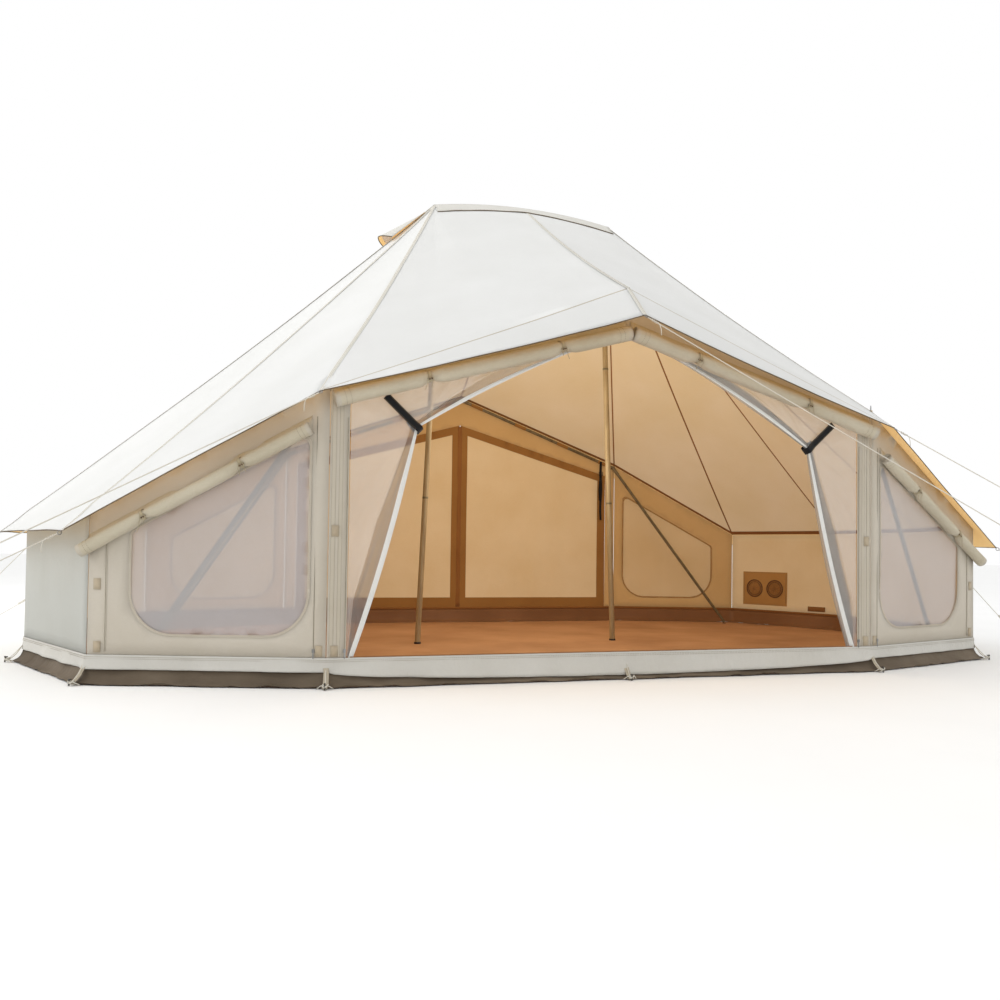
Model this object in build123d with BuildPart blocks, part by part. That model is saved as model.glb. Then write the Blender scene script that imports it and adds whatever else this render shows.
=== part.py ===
"""Twin-pole bell tent, in millimetres: +Z up, ground at z = 0, ridge along X, door side at -Y."""

import os
from math import hypot

from build123d import *

os.makedirs("parts", exist_ok=True)

# ---- driving sizes: plan of the walls (inner face) and heights ----
door_x, door_y = 1500.0, 1740.0  # corner beside the door
low_x, low_y = 2560.0, 1400.0  # corner between window panel and end wall
end_x, end_y = 3000.0, 490.0  # corner of the narrow end panel
wall_height = 820.0  # low and end corners
door_corner_height = 1450.0
door_peak_height = 2000.0
ridge_height = 3000.0  # roof at the two pole tops
ridge_rise = 55.0  # the ridge arches up this much between the poles
pole_top_x = 645.0
pole_base_x = 715.0
eave_overhang = 130.0
peak_overhang = 200.0
peak_fall = 190.0  # from the door peak down to the eave's tip over it

# ---- cloth ----
cloth = 2.0
seam = 0.3  # half gap between neighbouring panels
rest_gap = 0.3  # a piece and its seat
base_height = 130.0
sheet_thickness = 4.0
upstand_height = 110.0
skirt_width = 75.0

# ---- windows and doors ----
window_inset_door = 90.0  # from the door corner
window_inset_low = 200.0  # from the low corner
window_sill = 230.0
window_drop = 250.0  # window's top edge below the wall's top edge
window_corner = 200.0
mesh_thickness = 1.0
cover_margin = 45.0
door_strip = 90.0  # fixed strip between the door corner and the door zip
header_drop = (120.0, 245.0)  # band above the door, under the roof, at its corner and its peak
tieback = (1090.0, 1225.0)  # x and z where a mesh door is held back
door_roll_radius = 45.0
window_roll_radius = 36.0
roll_end = 20.0
door_roll_hang = (30.0, 140.0)  # how far it hangs under the roof, at the corner and the peak
window_roll_hang = (125.0, 107.0)  # the same at the door corner and the low corner

# ---- poles ----
pole_radius = 19.0
pole_wall = 1.5
pole_sections = 3
spigot_length = 60.0
ridge_pole_radius = 14.0
ridge_pole_drop = 45.0
pole_end_inset = 25.0
frame_radius = 12.5
frame_offset = 17.0  # axis inside the wall
frame_drop = 24.0  # axis under the wall's top edge
frame_joint_radius = 15.5
joint_length = 70.0
leg_foot = (2400.0, 1270.0)
foot_height = 12.0
leg_pad = 5.0

# ---- zips, straps, fittings ----
zip_width = 8.0
zip_thickness = 1.2
zip_start = 150.0
window_zip_inset = 60.0
front_zip_length = 1100.0
slider = (16.0, 12.0, 5.0)  # along the zip, across, thick
pull = (30.0, 5.0, 1.6)
strap_width = 25.0
strap_thickness = 2.0
strap_length = 225.0
hanging_strap_x = 1350.0
hanging_strap_length = 540.0
tie_width = 22.0
tie_thickness = 2.0
hood_length = 430.0
hood_half_width = 120.0
hood_rise = 70.0
cap_width = 110.0
patch_size = (440.0, 300.0)
patch_centre = (340.0, 330.0)  # along the panel from the low corner, and height
port_radius = 72.0
port_spacing = 200.0
port_rim = 8.0
port_depth = 6.0
peg_radius = 4.0
wall_peg_height = 28.0
hook_length = 14.0
hook_radius = 3.0
guy_peg_radius = 5.0
guy_peg_height = 110.0
guy_peg_lean = 30.0
loop_length = 82.0
ring_radius = 9.0
ring_wire = 2.0
ring_stand = 0.5  # from the eave's tip to the ring

# ---- guy ropes: name, eave corner and the peg's place on the ground ----
rope_radius = 2.5
rope_peg_height = 50.0
runner_size = (60.0, 26.0, 12.0)
runner_place = 0.78
runner_clearance = 0.4
guy_ropes = [
    ("front_peak", (0, -1, "peak"), (3000.0, -2770.0)),
    ("front_left_door", (-1, -1, "door"), (-3700.0, -2800.0)),
    ("front_right_door", (1, -1, "door"), (3560.0, -2800.0)),
    ("front_left_low", (-1, -1, "low"), (-3720.0, -2300.0)),
    ("front_right_low", (1, -1, "low"), (3580.0, -2150.0)),
    ("front_left_end", (-1, -1, "end"), (-3760.0, -760.0)),
    ("front_right_end", (1, -1, "end"), (3620.0, -760.0)),
    ("rear_left_end", (-1, 1, "end"), (-3760.0, 760.0)),
    ("rear_right_end", (1, 1, "end"), (3620.0, 760.0)),
    ("rear_left_low", (-1, 1, "low"), (-3700.0, 1880.0)),
]


# ---- points of the tent ----
def corner(sx, sy, kind, z=None):
    """A wall corner; without z, its top, where the wall meets the roof."""
    x, y, top = {
        "door": (door_x, door_y, door_corner_height),
        "low": (low_x, low_y, wall_height),
        "end": (end_x, end_y, wall_height),
    }[kind]
    return Vector(sx * x, sy * y, top if z is None else z)


def apex(sx):
    return Vector(sx * pole_top_x, 0, ridge_height)


ridge_middle = Vector(0, 0, ridge_height + ridge_rise)


def peak(sy):
    return Vector(0, sy * door_y, door_peak_height)


def eave(sx, sy, kind):
    """The eave's tip: the roof line from the pole top, carried on past the wall."""
    run = corner(sx, sy, kind) - apex(sx)
    return apex(sx) + run * (1 + eave_overhang / hypot(run.X, run.Y))


def eave_peak(sy):
    """The eave's tip over the door, where the two brows meet."""
    return peak(sy) + Vector(0, sy * peak_overhang, -peak_fall)


def unit_normal(a, b, c):
    """Unit normal of the plane through three points, on its upper or outer side."""
    normal = (b - a).cross(c - a).normalized()
    outward = normal.Z if abs(normal.Z) > 0.05 else normal.dot(Vector(a.X, a.Y, 0))
    return normal if outward > 0 else normal * -1


# walls stop short of the roof by what their own thickness needs under its slope
steepest = (ridge_height - wall_height) / (hypot(low_x - pole_top_x, low_y))
wall_top_drop = cloth * steepest + rest_gap


# ---- shapes, each added to the sub-part being built ----
def panel(points, thick=cloth, lift=0.0, inset=seam, side=1):
    """A flat panel through points, its inner face lift outside them."""
    out = unit_normal(*points[:3])
    plane = Plane(origin=points[0] + out * lift, x_dir=points[1] - points[0], z_dir=out)
    with BuildSketch(plane) as outline:
        with BuildLine():
            Polyline(*[plane.to_local_coords(p) for p in points], close=True)
        make_face()
        if inset:
            offset(amount=-inset, kind=Kind.INTERSECTION, mode=Mode.REPLACE)
    extrude(outline.sketch, amount=thick * side)


def rod(a, b, radius, bore=0.0):
    with BuildSketch(Plane(origin=a, z_dir=b - a)) as ends:
        Circle(radius)
        if bore:
            Circle(bore, mode=Mode.SUBTRACT)
    extrude(ends.sketch, amount=(b - a).length)


def strip(centre, long_dir, out, size, thick):
    """A flat strip: size runs along long_dir and across it, and it thickens along out."""
    with BuildSketch(Plane(origin=centre, x_dir=long_dir, z_dir=out)) as face:
        Rectangle(*size)
    extrude(face.sketch, amount=thick)


def finish(builder, name):
    builder.part.label = name
    export_step(builder.part, f"parts/{name}.step")
    print(f"{name}: {len(builder.part.solids())} solids, {builder.part.volume / 1000:.1f} cm3")


def wall_side(a, b):
    """Along and outward directions of the wall from corner a to corner b."""
    along = Vector(b.X - a.X, b.Y - a.Y, 0).normalized()
    across = Vector(along.Y, -along.X, 0)
    facing_out = Vector(a.X + b.X, a.Y + b.Y, 0).dot(across) > 0
    return along, across if facing_out else across * -1


def on_wall(a, b, distance, z, out=0.0):
    along, outward = wall_side(a, b)
    return Vector(a.X, a.Y, z) + along * distance + outward * out


def span(a, b):
    return hypot(b.X - a.X, b.Y - a.Y)


def top_at(a, b, distance):
    return a.Z + (b.Z - a.Z) * distance / span(a, b)


around = [(sx, sy, kind) for sx, sy, kinds in (
    (1, -1, ("door", "low", "end")), (1, 1, ("end", "low", "door")),
    (-1, 1, ("door", "low", "end")), (-1, -1, ("end", "low", "door"))) for kind in kinds]
sides = list(zip(around, around[1:] + around[:1]))
quarters = [(1, -1), (-1, -1), (1, 1), (-1, 1)]
side_names = {1: "right", -1: "left"}
end_names = {1: "rear", -1: "front"}

# ---- floor ----
floor_clear = rest_gap + cloth
with BuildPart() as groundsheet:
    with BuildSketch() as floor:
        with BuildLine():
            Polyline(*[(corner(*c).X, corner(*c).Y) for c in around], close=True)
        make_face()
        offset(amount=-floor_clear, kind=Kind.INTERSECTION, mode=Mode.REPLACE)
    extrude(amount=sheet_thickness)
finish(groundsheet, "groundsheet")

with BuildPart() as floor_upstand:
    for a, b in sides:
        low_a, low_b = corner(*a, z=sheet_thickness + rest_gap), corner(*b, z=sheet_thickness + rest_gap)
        rise = Vector(0, 0, upstand_height)
        inward = wall_side(low_a, low_b)[1] * -rest_gap
        ends = wall_side(low_a, low_b)[0] * (cloth + rest_gap)
        panel([low_a + inward + ends, low_b + inward - ends, low_b + inward - ends + rise,
               low_a + inward + ends + rise], side=-1, inset=0)
finish(floor_upstand, "floor_upstand")

with BuildPart() as mud_skirt:
    for a, b in sides:
        inner = [corner(*a, z=0), corner(*b, z=0)]
        out = wall_side(*inner)[1]
        grow = [Vector(p.X, p.Y, 0).normalized() * skirt_width for p in inner]
        start = out * (cloth + rest_gap)
        panel([inner[0] + start, inner[1] + start, inner[1] + grow[1], inner[0] + grow[0]])
finish(mud_skirt, "mud_skirt")

# ---- walls ----
with BuildPart() as base_band:
    for a, b in sides:
        panel([corner(*a, z=0), corner(*b, z=0), corner(*b, z=base_height), corner(*a, z=base_height)])
finish(base_band, "base_band")


def wall_points(a, b, start=0.0, stop=None, bottom=base_height, drop=wall_top_drop):
    """Outline of the wall from a to b, between two distances along it."""
    stop = span(a, b) if stop is None else stop
    return [on_wall(a, b, start, bottom), on_wall(a, b, stop, bottom),
            on_wall(a, b, stop, top_at(a, b, stop) - drop), on_wall(a, b, start, top_at(a, b, start) - drop)]


def window_sketch(a, b, grow=0.0):
    """The window's outline in its wall, with round lower corners, larger all round by grow."""
    out = wall_side(a, b)[1]
    plane = Plane(origin=on_wall(a, b, 0, 0), x_dir=Vector(0, 0, 1).cross(out), z_dir=out)
    ends = (window_inset_door - grow, span(a, b) - window_inset_low + grow)
    lower = [on_wall(a, b, d, window_sill - grow) for d in ends]
    upper = [on_wall(a, b, d, top_at(a, b, d) - window_drop + grow) for d in reversed(ends)]
    with BuildSketch(plane) as window:
        with BuildLine():
            Polyline(*[plane.to_local_coords(p) for p in lower + upper], close=True)
        make_face()
        fillet(window.vertices().sort_by(Axis.Y)[:2], window_corner)
    return window.sketch


for sy, end in end_names.items():
    with BuildPart() as window_panels:
        for sx in (1, -1):
            a, b = corner(sx, sy, "door"), corner(sx, sy, "low")
            panel(wall_points(a, b))
            hole = window_sketch(a, b)
            extrude(hole, amount=3 * cloth, both=True, mode=Mode.SUBTRACT)
    finish(window_panels, f"{end}_window_panels")

with BuildPart() as window_meshes:
    for sx, sy in quarters:
        hole = window_sketch(corner(sx, sy, "door"), corner(sx, sy, "low"), grow=-seam)
        extrude(hole, amount=mesh_thickness)
finish(window_meshes, "window_meshes")

with BuildPart() as rear_window_covers:
    for sx in (1, -1):
        a, b = corner(sx, 1, "door"), corner(sx, 1, "low")
        cover = window_sketch(a, b, grow=cover_margin)
        lift = wall_side(a, b)[1] * (cloth + rest_gap)
        extrude(Pos(*lift) * cover, amount=cloth)
finish(rear_window_covers, "rear_window_covers")

with BuildPart() as end_walls:
    for sx in (1, -1):
        for a, b in (((-1, "low"), (-1, "end")), ((-1, "end"), (1, "end")), ((1, "end"), (1, "low"))):
            panel(wall_points(corner(sx, *a), corner(sx, *b)))
finish(end_walls, "end_walls")

# ---- doors ----
def door_head(a, b, *distances):
    """Points on the header's lower edge, at distances from the door corner."""
    return [on_wall(a, b, d, top_at(a, b, d) - wall_top_drop - header_drop[0]
                    - (header_drop[1] - header_drop[0]) * d / door_x) for d in distances]


for sy, end in end_names.items():
    with BuildPart() as surround:
        for sx in (1, -1):
            a, b = corner(sx, sy, "door"), peak(sy)
            panel(wall_points(a, b, stop=door_strip))
            header = wall_points(a, b, start=door_strip)
            panel(header[2:] + door_head(a, b, door_strip, door_x))
    finish(surround, f"{end}_door_surround")

with BuildPart() as mesh_doors:
    for sx in (1, -1):
        a, b = corner(sx, -1, "door"), peak(-1)
        foot = on_wall(a, b, door_strip, base_height)
        near, top = door_head(a, b, door_strip, door_x)
        hem = Vector(sx * tieback[0], -door_y, tieback[1])
        panel([foot, hem, near], thick=mesh_thickness)
        panel([hem, top, near], thick=mesh_thickness)
finish(mesh_doors, "mesh_doors")

with BuildPart() as rear_door_panels:
    for sx in (1, -1):
        a, b = corner(sx, 1, "door"), peak(1)
        stop = door_x - zip_width / 2 - rest_gap
        panel(wall_points(a, b, start=door_strip, stop=stop)[:2] + door_head(a, b, stop, door_strip))
finish(rear_door_panels, "rear_door_panels")


def roll_axis(a, b, radius, roof_point, hang, start, stop):
    """Ends of a rolled cover's axis, outside the wall a-b and by hang lower than touching the roof."""
    out = wall_side(a, b)[1]
    normal = unit_normal(a, b, roof_point)
    away = cloth + rest_gap + tie_thickness + rest_gap + radius
    clear = radius + tie_thickness + 2 * rest_gap
    drop = (clear + away * abs(normal.dot(out))) / normal.Z
    return [on_wall(a, b, d, top_at(a, b, d) - drop - h, away) for d, h in zip((start, stop), hang)]


roll_axes = {}
for sx, side in side_names.items():
    foot, top = corner(sx, -1, "door"), peak(-1)
    roll_axes[f"{side}_door"] = (roll_axis(foot, top, door_roll_radius, apex(sx), door_roll_hang,
                                           roll_end, door_x - roll_end), door_roll_radius)
    low = corner(sx, -1, "low")
    roll_axes[f"{side}_window"] = (roll_axis(foot, low, window_roll_radius, apex(sx), window_roll_hang,
                                             2 * door_roll_radius, span(foot, low) + roll_end),
                                   window_roll_radius)
for opening in ("door", "window"):
    with BuildPart() as rolls:
        for side in side_names.values():
            (start, stop), radius = roll_axes[f"{side}_{opening}"]
            rod(start, stop, radius)
    finish(rolls, f"{opening}_rolls")

with BuildPart() as roll_ties:
    for (start, stop), radius in roll_axes.values():
        run = stop - start
        for place in (0.3, 0.72):
            at = start + run * place
            half = run.normalized() * (tie_width / 2)
            with BuildSketch(Plane(origin=at - half, z_dir=run)) as ring:
                Circle(radius + rest_gap + tie_thickness)
                Circle(radius + rest_gap, mode=Mode.SUBTRACT)
            extrude(ring.sketch, amount=tie_width)
finish(roll_ties, "roll_ties")

# ---- roof ----
with BuildPart() as roof_sides:
    for sx, sy in quarters:
        panel([apex(sx), ridge_middle, peak(sy)])
        panel([apex(sx), peak(sy), eave(sx, sy, "door")])
        panel([peak(sy), eave_peak(sy), eave(sx, sy, "door")])
finish(roof_sides, "roof_sides")

with BuildPart() as roof_ends:
    for sx, sy in quarters:
        panel([apex(sx), eave(sx, sy, "door"), eave(sx, sy, "low")])
        panel([apex(sx), eave(sx, sy, "low"), eave(sx, sy, "end")])
    for sx in (1, -1):
        panel([apex(sx), eave(sx, -1, "end"), eave(sx, 1, "end")])
finish(roof_ends, "roof_ends")

with BuildPart() as ridge_cap:
    for sx, sy in quarters:
        down = cap_width / (peak(sy) - ridge_middle).length
        near = apex(sx) + (peak(sy) - apex(sx)) * down
        panel([apex(sx), ridge_middle, ridge_middle + (peak(sy) - ridge_middle) * down, near],
              lift=cloth + rest_gap)
finish(ridge_cap, "ridge_cap")

with BuildPart() as vent_hoods:
    for sx in (1, -1):
        fall = (eave(sx, -1, "end") + eave(sx, 1, "end")) * 0.5 - apex(sx)
        fall = fall.normalized()
        out = unit_normal(apex(sx), eave(sx, -1, "end"), eave(sx, 1, "end"))
        lift = out * (cloth + rest_gap)
        start = apex(sx) + fall * (2 * cap_width) * 0.5
        tip = apex(sx) + fall * hood_length + out * hood_rise
        for sy in (1, -1):
            edge = apex(sx) + fall * hood_length + Vector(0, sy * hood_half_width, 0)
            panel([start + lift, tip, edge + lift])
finish(vent_hoods, "vent_hoods")

# ---- poles ----
inner_radius = pole_radius - pole_wall
ridge_end = Vector(pole_top_x - pole_end_inset, 0, ridge_height - ridge_pole_drop)
ridge_bottom = ridge_end.Z - ridge_pole_radius
for sx, side in side_names.items():
    with BuildPart() as centre_pole:
        lean = pole_radius * (pole_base_x - pole_top_x) / ridge_bottom
        base = Vector(sx * pole_base_x, 0, sheet_thickness + foot_height + lean + 2 * rest_gap)
        top = Vector(sx * (ridge_end.X - pole_radius), 0, ridge_bottom - lean)
        step = (top - base) / pole_sections
        for number in range(pole_sections):
            foot = base + step * number
            head = foot + step - step.normalized() * rest_gap
            rod(foot, head, pole_radius, inner_radius)
            if number < pole_sections - 1:
                neck = step.normalized() * spigot_length
                rod(head - neck, head + neck, inner_radius - rest_gap, inner_radius - rest_gap - pole_wall)
                rod(head - neck, head - neck * 0.6, inner_radius, inner_radius - rest_gap - pole_wall)
    finish(centre_pole, f"{side}_centre_pole")

with BuildPart() as ridge_pole:
    with BuildLine() as arch:
        ThreePointArc((-ridge_end.X, 0, ridge_end.Z), (0, 0, ridge_end.Z + ridge_rise),
                      (ridge_end.X, 0, ridge_end.Z))
    with BuildSketch(Plane(origin=arch.line @ 0, z_dir=arch.line % 0)):
        Circle(ridge_pole_radius)
    sweep()
finish(ridge_pole, "ridge_pole")


def frame_point(sx, sy, kind):
    """A point on the frame's axis, inside the wall and under the roof."""
    at = peak(sy) if kind == "peak" else corner(sx, sy, kind)
    return at - Vector(sx * frame_offset if kind != "peak" else 0, sy * frame_offset, frame_drop)


frame_ends = {}
for sx, sy in quarters:
    crown, elbow = frame_point(sx, sy, "peak"), frame_point(sx, sy, "door")
    foot = Vector(sx * leg_foot[0], sy * leg_foot[1], sheet_thickness + leg_pad + 2 * rest_gap)
    sprawl = hypot(foot.X - elbow.X, foot.Y - elbow.Y) / (foot - elbow).length
    foot += Vector(0, 0, frame_radius * sprawl)
    frame_ends[sx, sy] = crown, elbow, foot

with BuildPart() as rafters:
    for crown, elbow, foot in frame_ends.values():
        cut = (elbow - crown).normalized() * (joint_length + rest_gap)
        rod(crown + cut, elbow - cut, frame_radius)
finish(rafters, "a_frame_rafters")

with BuildPart() as legs:
    for crown, elbow, foot in frame_ends.values():
        rod(elbow + (foot - elbow).normalized() * (joint_length + rest_gap), foot, frame_radius)
finish(legs, "a_frame_legs")

with BuildPart() as frame_joints:
    for (sx, sy), (crown, elbow, foot) in frame_ends.items():
        for end, others in ((elbow, (crown, foot)), (crown, (elbow,))):
            for other in others:
                rod(end, end + (other - end).normalized() * joint_length, frame_joint_radius)
            with Locations(end):
                Sphere(frame_joint_radius)
finish(frame_joints, "a_frame_joints")

with BuildPart() as pole_feet:
    for sx in (1, -1):
        with Locations((sx * pole_base_x, 0, sheet_thickness + rest_gap / 2)):
            Cylinder(pole_radius + 4, foot_height, align=(Align.CENTER, Align.CENTER, Align.MIN))
    for crown, elbow, foot in frame_ends.values():
        with Locations((foot.X, foot.Y, sheet_thickness + rest_gap / 2)):
            Cylinder(frame_radius + 3, leg_pad, align=(Align.CENTER, Align.CENTER, Align.MIN))
finish(pole_feet, "pole_feet")

# ---- zips ----
up = Vector(0, 0, 1)
zip_lift = cloth + rest_gap
slider_lift = zip_lift + zip_thickness + rest_gap
zip_places = {}
for sx, side in side_names.items():
    door_foot = corner(sx, -1, "door")
    zip_places[f"{side}_door"] = (door_foot, peak(-1), door_strip - zip_width)
    zip_places[f"{side}_window"] = (door_foot, corner(sx, -1, "low"), window_zip_inset)
rear_zip_top = door_peak_height - wall_top_drop - header_drop[1] - 4 * zip_width

with BuildPart() as zip_tracks:
    for a, b, place in zip_places.values():
        middle = on_wall(a, b, place, zip_start + front_zip_length / 2, zip_lift)
        strip(middle, up, wall_side(a, b)[1], (front_zip_length, zip_width), zip_thickness)
    rear_zip = rear_zip_top - base_height
    strip(Vector(0, door_y, base_height + rear_zip / 2), up, Vector(0, 1, 0), (rear_zip, zip_width),
          cloth + zip_thickness)
finish(zip_tracks, "zip_tracks")

slider_long, slider_wide, slider_thick = slider
slider_homes = {name: (on_wall(a, b, place, zip_start + slider_long, slider_lift), wall_side(a, b)[1])
                for name, (a, b, place) in zip_places.items()}
slider_homes["rear_door"] = (Vector(0, door_y + cloth + zip_thickness + rest_gap, zip_start + slider_long),
                             Vector(0, 1, 0))
for name, (home, out) in slider_homes.items():
    with BuildPart() as zip_slider:
        strip(home, up, out, (slider_long, slider_wide), slider_thick)
        pull_long, pull_wide, pull_thick = pull
        strip(home - up * ((slider_long + pull_long) / 2 - 1) + out * slider_thick / 2, up, out,
              (pull_long, pull_wide), pull_thick)
    finish(zip_slider, f"{name}_zip_slider")

# ---- straps and the cable port ----
with BuildPart() as tieback_straps:
    for sx in (1, -1):
        hem = Vector(sx * tieback[0], -door_y - mesh_thickness - rest_gap, tieback[1])
        run = Vector(sx, 0, 1).normalized()
        strip(hem + run * (strap_length / 2 - strap_width), run, Vector(0, -1, 0),
              (strap_length, strap_width), strap_thickness)
finish(tieback_straps, "tieback_straps")

crown, elbow = frame_ends[1, 1][:2]
strap_pivot = crown + (elbow - crown) * (hanging_strap_x / elbow.X)
strap_face = strap_pivot - Vector(0, frame_radius + rest_gap + strap_thickness, 0)
with BuildPart() as hanging_strap:
    with BuildSketch(Plane(origin=strap_face, x_dir=(1, 0, 0), z_dir=(0, 1, 0))):
        with Locations((0, hanging_strap_length / 2)):
            Rectangle(strap_width, hanging_strap_length)
        Circle(strap_width / 2)
    extrude(amount=strap_thickness)
finish(hanging_strap, "hanging_strap")

with BuildPart() as cable_port_patch:
    low, end = corner(1, 1, "low"), corner(1, 1, "end")
    along, out = wall_side(low, end)
    inward = out * -1
    centre = on_wall(low, end, patch_centre[0], patch_centre[1], -rest_gap)
    strip(centre, along, inward, patch_size, cloth)
    for way in (1, -1):
        port = centre + along * (way * port_spacing / 2) + inward * cloth
        rod(port, port + inward * port_depth, port_radius, port_radius - port_rim)
        rod(port, port + inward * cloth, port_radius - port_rim)
finish(cable_port_patch, "cable_port_patch")

# ---- loops and pegs round the foot of the walls ----
peg_lines = []
for before, here in zip(sides[-1:] + sides[:-1], sides):
    at = corner(*here[0], z=0)
    normals = [wall_side(corner(*a), corner(*b))[1] for a, b in (before, here)]
    peg_lines.append((at, (normals[0] + normals[1]).normalized()))
peg_lines += [(Vector(0, sy * door_y, 0), Vector(0, sy, 0)) for sy in (1, -1)]
loop_start = 2 * cloth + rest_gap

with BuildPart() as peg_loops:
    for at, out in peg_lines:
        start, stop = at + out * loop_start, at + out * (loop_start + loop_length)
        strip((start + stop) / 2 + up * (cloth + rest_gap), out, up, (loop_length, strap_width), cloth)
finish(peg_loops, "peg_loops")

with BuildPart() as wall_pegs:
    for at, out in peg_lines:
        foot = at + out * (loop_start + loop_length + rest_gap + peg_radius)
        hook = foot + up * wall_peg_height
        rod(foot, hook + up * peg_radius, peg_radius)
        rod(hook, hook - out * hook_length, hook_radius)
finish(wall_pegs, "wall_pegs")

# ---- guy ropes, each with its ring, runner and peg ----
ring_reach = ring_radius + ring_wire


def eave_tip(sx, sy, kind):
    """An eave's tip, and the roof's line as it arrives there."""
    if kind == "peak":
        return eave_peak(sy), (eave_peak(sy) - peak(sy)).normalized()
    return eave(sx, sy, kind), (eave(sx, sy, kind) - apex(sx)).normalized()


def ring(tip, fall, toward):
    """A wire ring at the eave's tip, in the plane of the roof's line and the rope's."""
    centre = tip + fall * (ring_reach + ring_stand)
    with Locations(Plane(origin=centre, x_dir=fall, z_dir=fall.cross(toward))):
        Torus(ring_radius, ring_wire)


rope_ends = {}
for name, place, (peg_x, peg_y) in guy_ropes:
    tip, fall = eave_tip(*place)
    centre = tip + fall * (ring_reach + ring_stand)
    away = Vector(peg_x - tip.X, peg_y - tip.Y, 0).normalized()
    peg_foot = Vector(peg_x, peg_y, 0)
    hold = peg_foot + (up * guy_peg_height + away * guy_peg_lean) * (rope_peg_height / guy_peg_height)
    steep = (centre - hold).Z / (centre - hold).length
    peg_reach = guy_peg_radius * hypot(guy_peg_height, guy_peg_lean) / guy_peg_height
    stop = hold - away * (peg_reach + rope_radius * abs(steep - guy_peg_lean / guy_peg_height) + rest_gap)
    start = centre + (stop - centre).normalized() * (ring_reach + rest_gap)
    rope_ends[name] = (start, stop, away, peg_foot)

with BuildPart() as eave_rings:
    roped = {place: rope_ends[name][1] for name, place, peg in guy_ropes}
    for place in around + [(0, -1, "peak"), (0, 1, "peak")]:
        tip, fall = eave_tip(*place)
        ring(tip, fall, roped.get(place, tip + up) - tip)
finish(eave_rings, "eave_rings")

with BuildPart() as guy_pegs:
    for start, stop, away, foot in rope_ends.values():
        head = foot + up * guy_peg_height + away * guy_peg_lean
        rod(foot, head + (head - foot).normalized() * guy_peg_radius, guy_peg_radius)
        rod(head, head + away * hook_length, hook_radius)
finish(guy_pegs, "guy_pegs")

for name, (start, stop, away, foot) in rope_ends.items():
    with BuildPart() as rope:
        rod(start, stop, rope_radius)
    finish(rope, f"{name}_rope")
    line = (stop - start).normalized()
    place = start + (stop - start) * runner_place - line * runner_size[0] / 2
    with BuildPart() as runner:
        with BuildSketch(Plane(origin=place, x_dir=up.cross(line), z_dir=line)):
            RectangleRounded(runner_size[1], runner_size[2], runner_size[2] / 3)
            Circle(rope_radius + runner_clearance, mode=Mode.SUBTRACT)
        extrude(amount=runner_size[0])
    finish(runner, f"{name}_runner")
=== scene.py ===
# %% [markdown]
# # A twin-pole bell tent
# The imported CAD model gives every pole, peg, zip slider and runner at its real size. This lesson keeps
# those pieces and gives them finishes, and makes the cloth around them: canvas that sags between its
# seams, nets, rolled covers, the coated floor and the ropes. The numbers are metres, in the CAD's frame.

# %% The frame
from math import atan2, cos, hypot, pi, radians, sin

import bpy
from mathutils import Matrix, Vector, noise


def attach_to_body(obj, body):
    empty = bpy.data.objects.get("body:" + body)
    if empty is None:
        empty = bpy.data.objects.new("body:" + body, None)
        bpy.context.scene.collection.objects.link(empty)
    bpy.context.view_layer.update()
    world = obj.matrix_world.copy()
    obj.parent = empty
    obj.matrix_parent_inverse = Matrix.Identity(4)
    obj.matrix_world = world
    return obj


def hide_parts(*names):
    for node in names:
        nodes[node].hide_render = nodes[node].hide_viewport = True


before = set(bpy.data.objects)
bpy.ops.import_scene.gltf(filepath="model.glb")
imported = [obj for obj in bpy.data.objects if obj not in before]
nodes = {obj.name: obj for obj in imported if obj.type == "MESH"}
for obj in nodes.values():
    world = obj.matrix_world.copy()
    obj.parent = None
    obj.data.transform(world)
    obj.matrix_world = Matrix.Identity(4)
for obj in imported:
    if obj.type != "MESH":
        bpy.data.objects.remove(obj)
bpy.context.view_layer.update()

scene = bpy.context.scene

# %% [markdown]
# The tent's plan has twelve corners, the same in each quarter: one beside the door, a low one at the far
# edge of the window panel, and one at the narrow end panel. The roof runs from the two pole tops to these
# corners, so a handful of sizes gives every seam. They repeat the CAD's driving sizes.

# %% Sizes
PLAN = {"door": (1.5, 1.74, 1.45), "low": (2.56, 1.40, 0.82), "end": (3.0, 0.49, 0.82)}
PEAK_HEIGHT = 2.0
RIDGE_HEIGHT = 3.0
RIDGE_RISE = 0.055
POLE_TOP = 0.645
OVERHANG = 0.13
PEAK_OVERHANG, PEAK_FALL = 0.20, 0.19
BAND_TOP = 0.13
BAND_FOOT = 0.068
SEAM_SAG = 0.035
CLOTH = 0.0022
UP = Vector((0, 0, 1))


def lerp(a, b, t):
    return a + (b - a) * t


def corner(sx, sy, kind, z=None):
    x, y, top = PLAN[kind]
    return Vector((sx * x, sy * y, top if z is None else z))


def apex(sx):
    return Vector((sx * POLE_TOP, 0, RIDGE_HEIGHT))


def peak(sy):
    return Vector((0, sy * PLAN["door"][1], PEAK_HEIGHT))


def ridge(x):
    """The roof's top line, which arches up between the poles."""
    return Vector((x, 0, RIDGE_HEIGHT + RIDGE_RISE * (1 - (x / POLE_TOP) ** 2)))


def peak_tip(sy):
    """The eave's tip over a door, where the two brows meet."""
    return peak(sy) + Vector((0, sy * PEAK_OVERHANG, -PEAK_FALL))


QUARTERS = [(sx, sy) for sx in (1, -1) for sy in (-1, 1)]
AROUND = [(1, -1, "door"), (1, -1, "low"), (1, -1, "end"), (1, 1, "end"), (1, 1, "low"), (1, 1, "door"),
          (-1, 1, "door"), (-1, 1, "low"), (-1, 1, "end"), (-1, -1, "end"), (-1, -1, "low"),
          (-1, -1, "door")]
print(len(AROUND), "corners")

# %% [markdown]
# The camera stands low on the grass in front of the left half, and looks slightly to the right. Ropes are
# cords, and how far they may run past the picture's edge depends on the camera, so it comes first.

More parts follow.
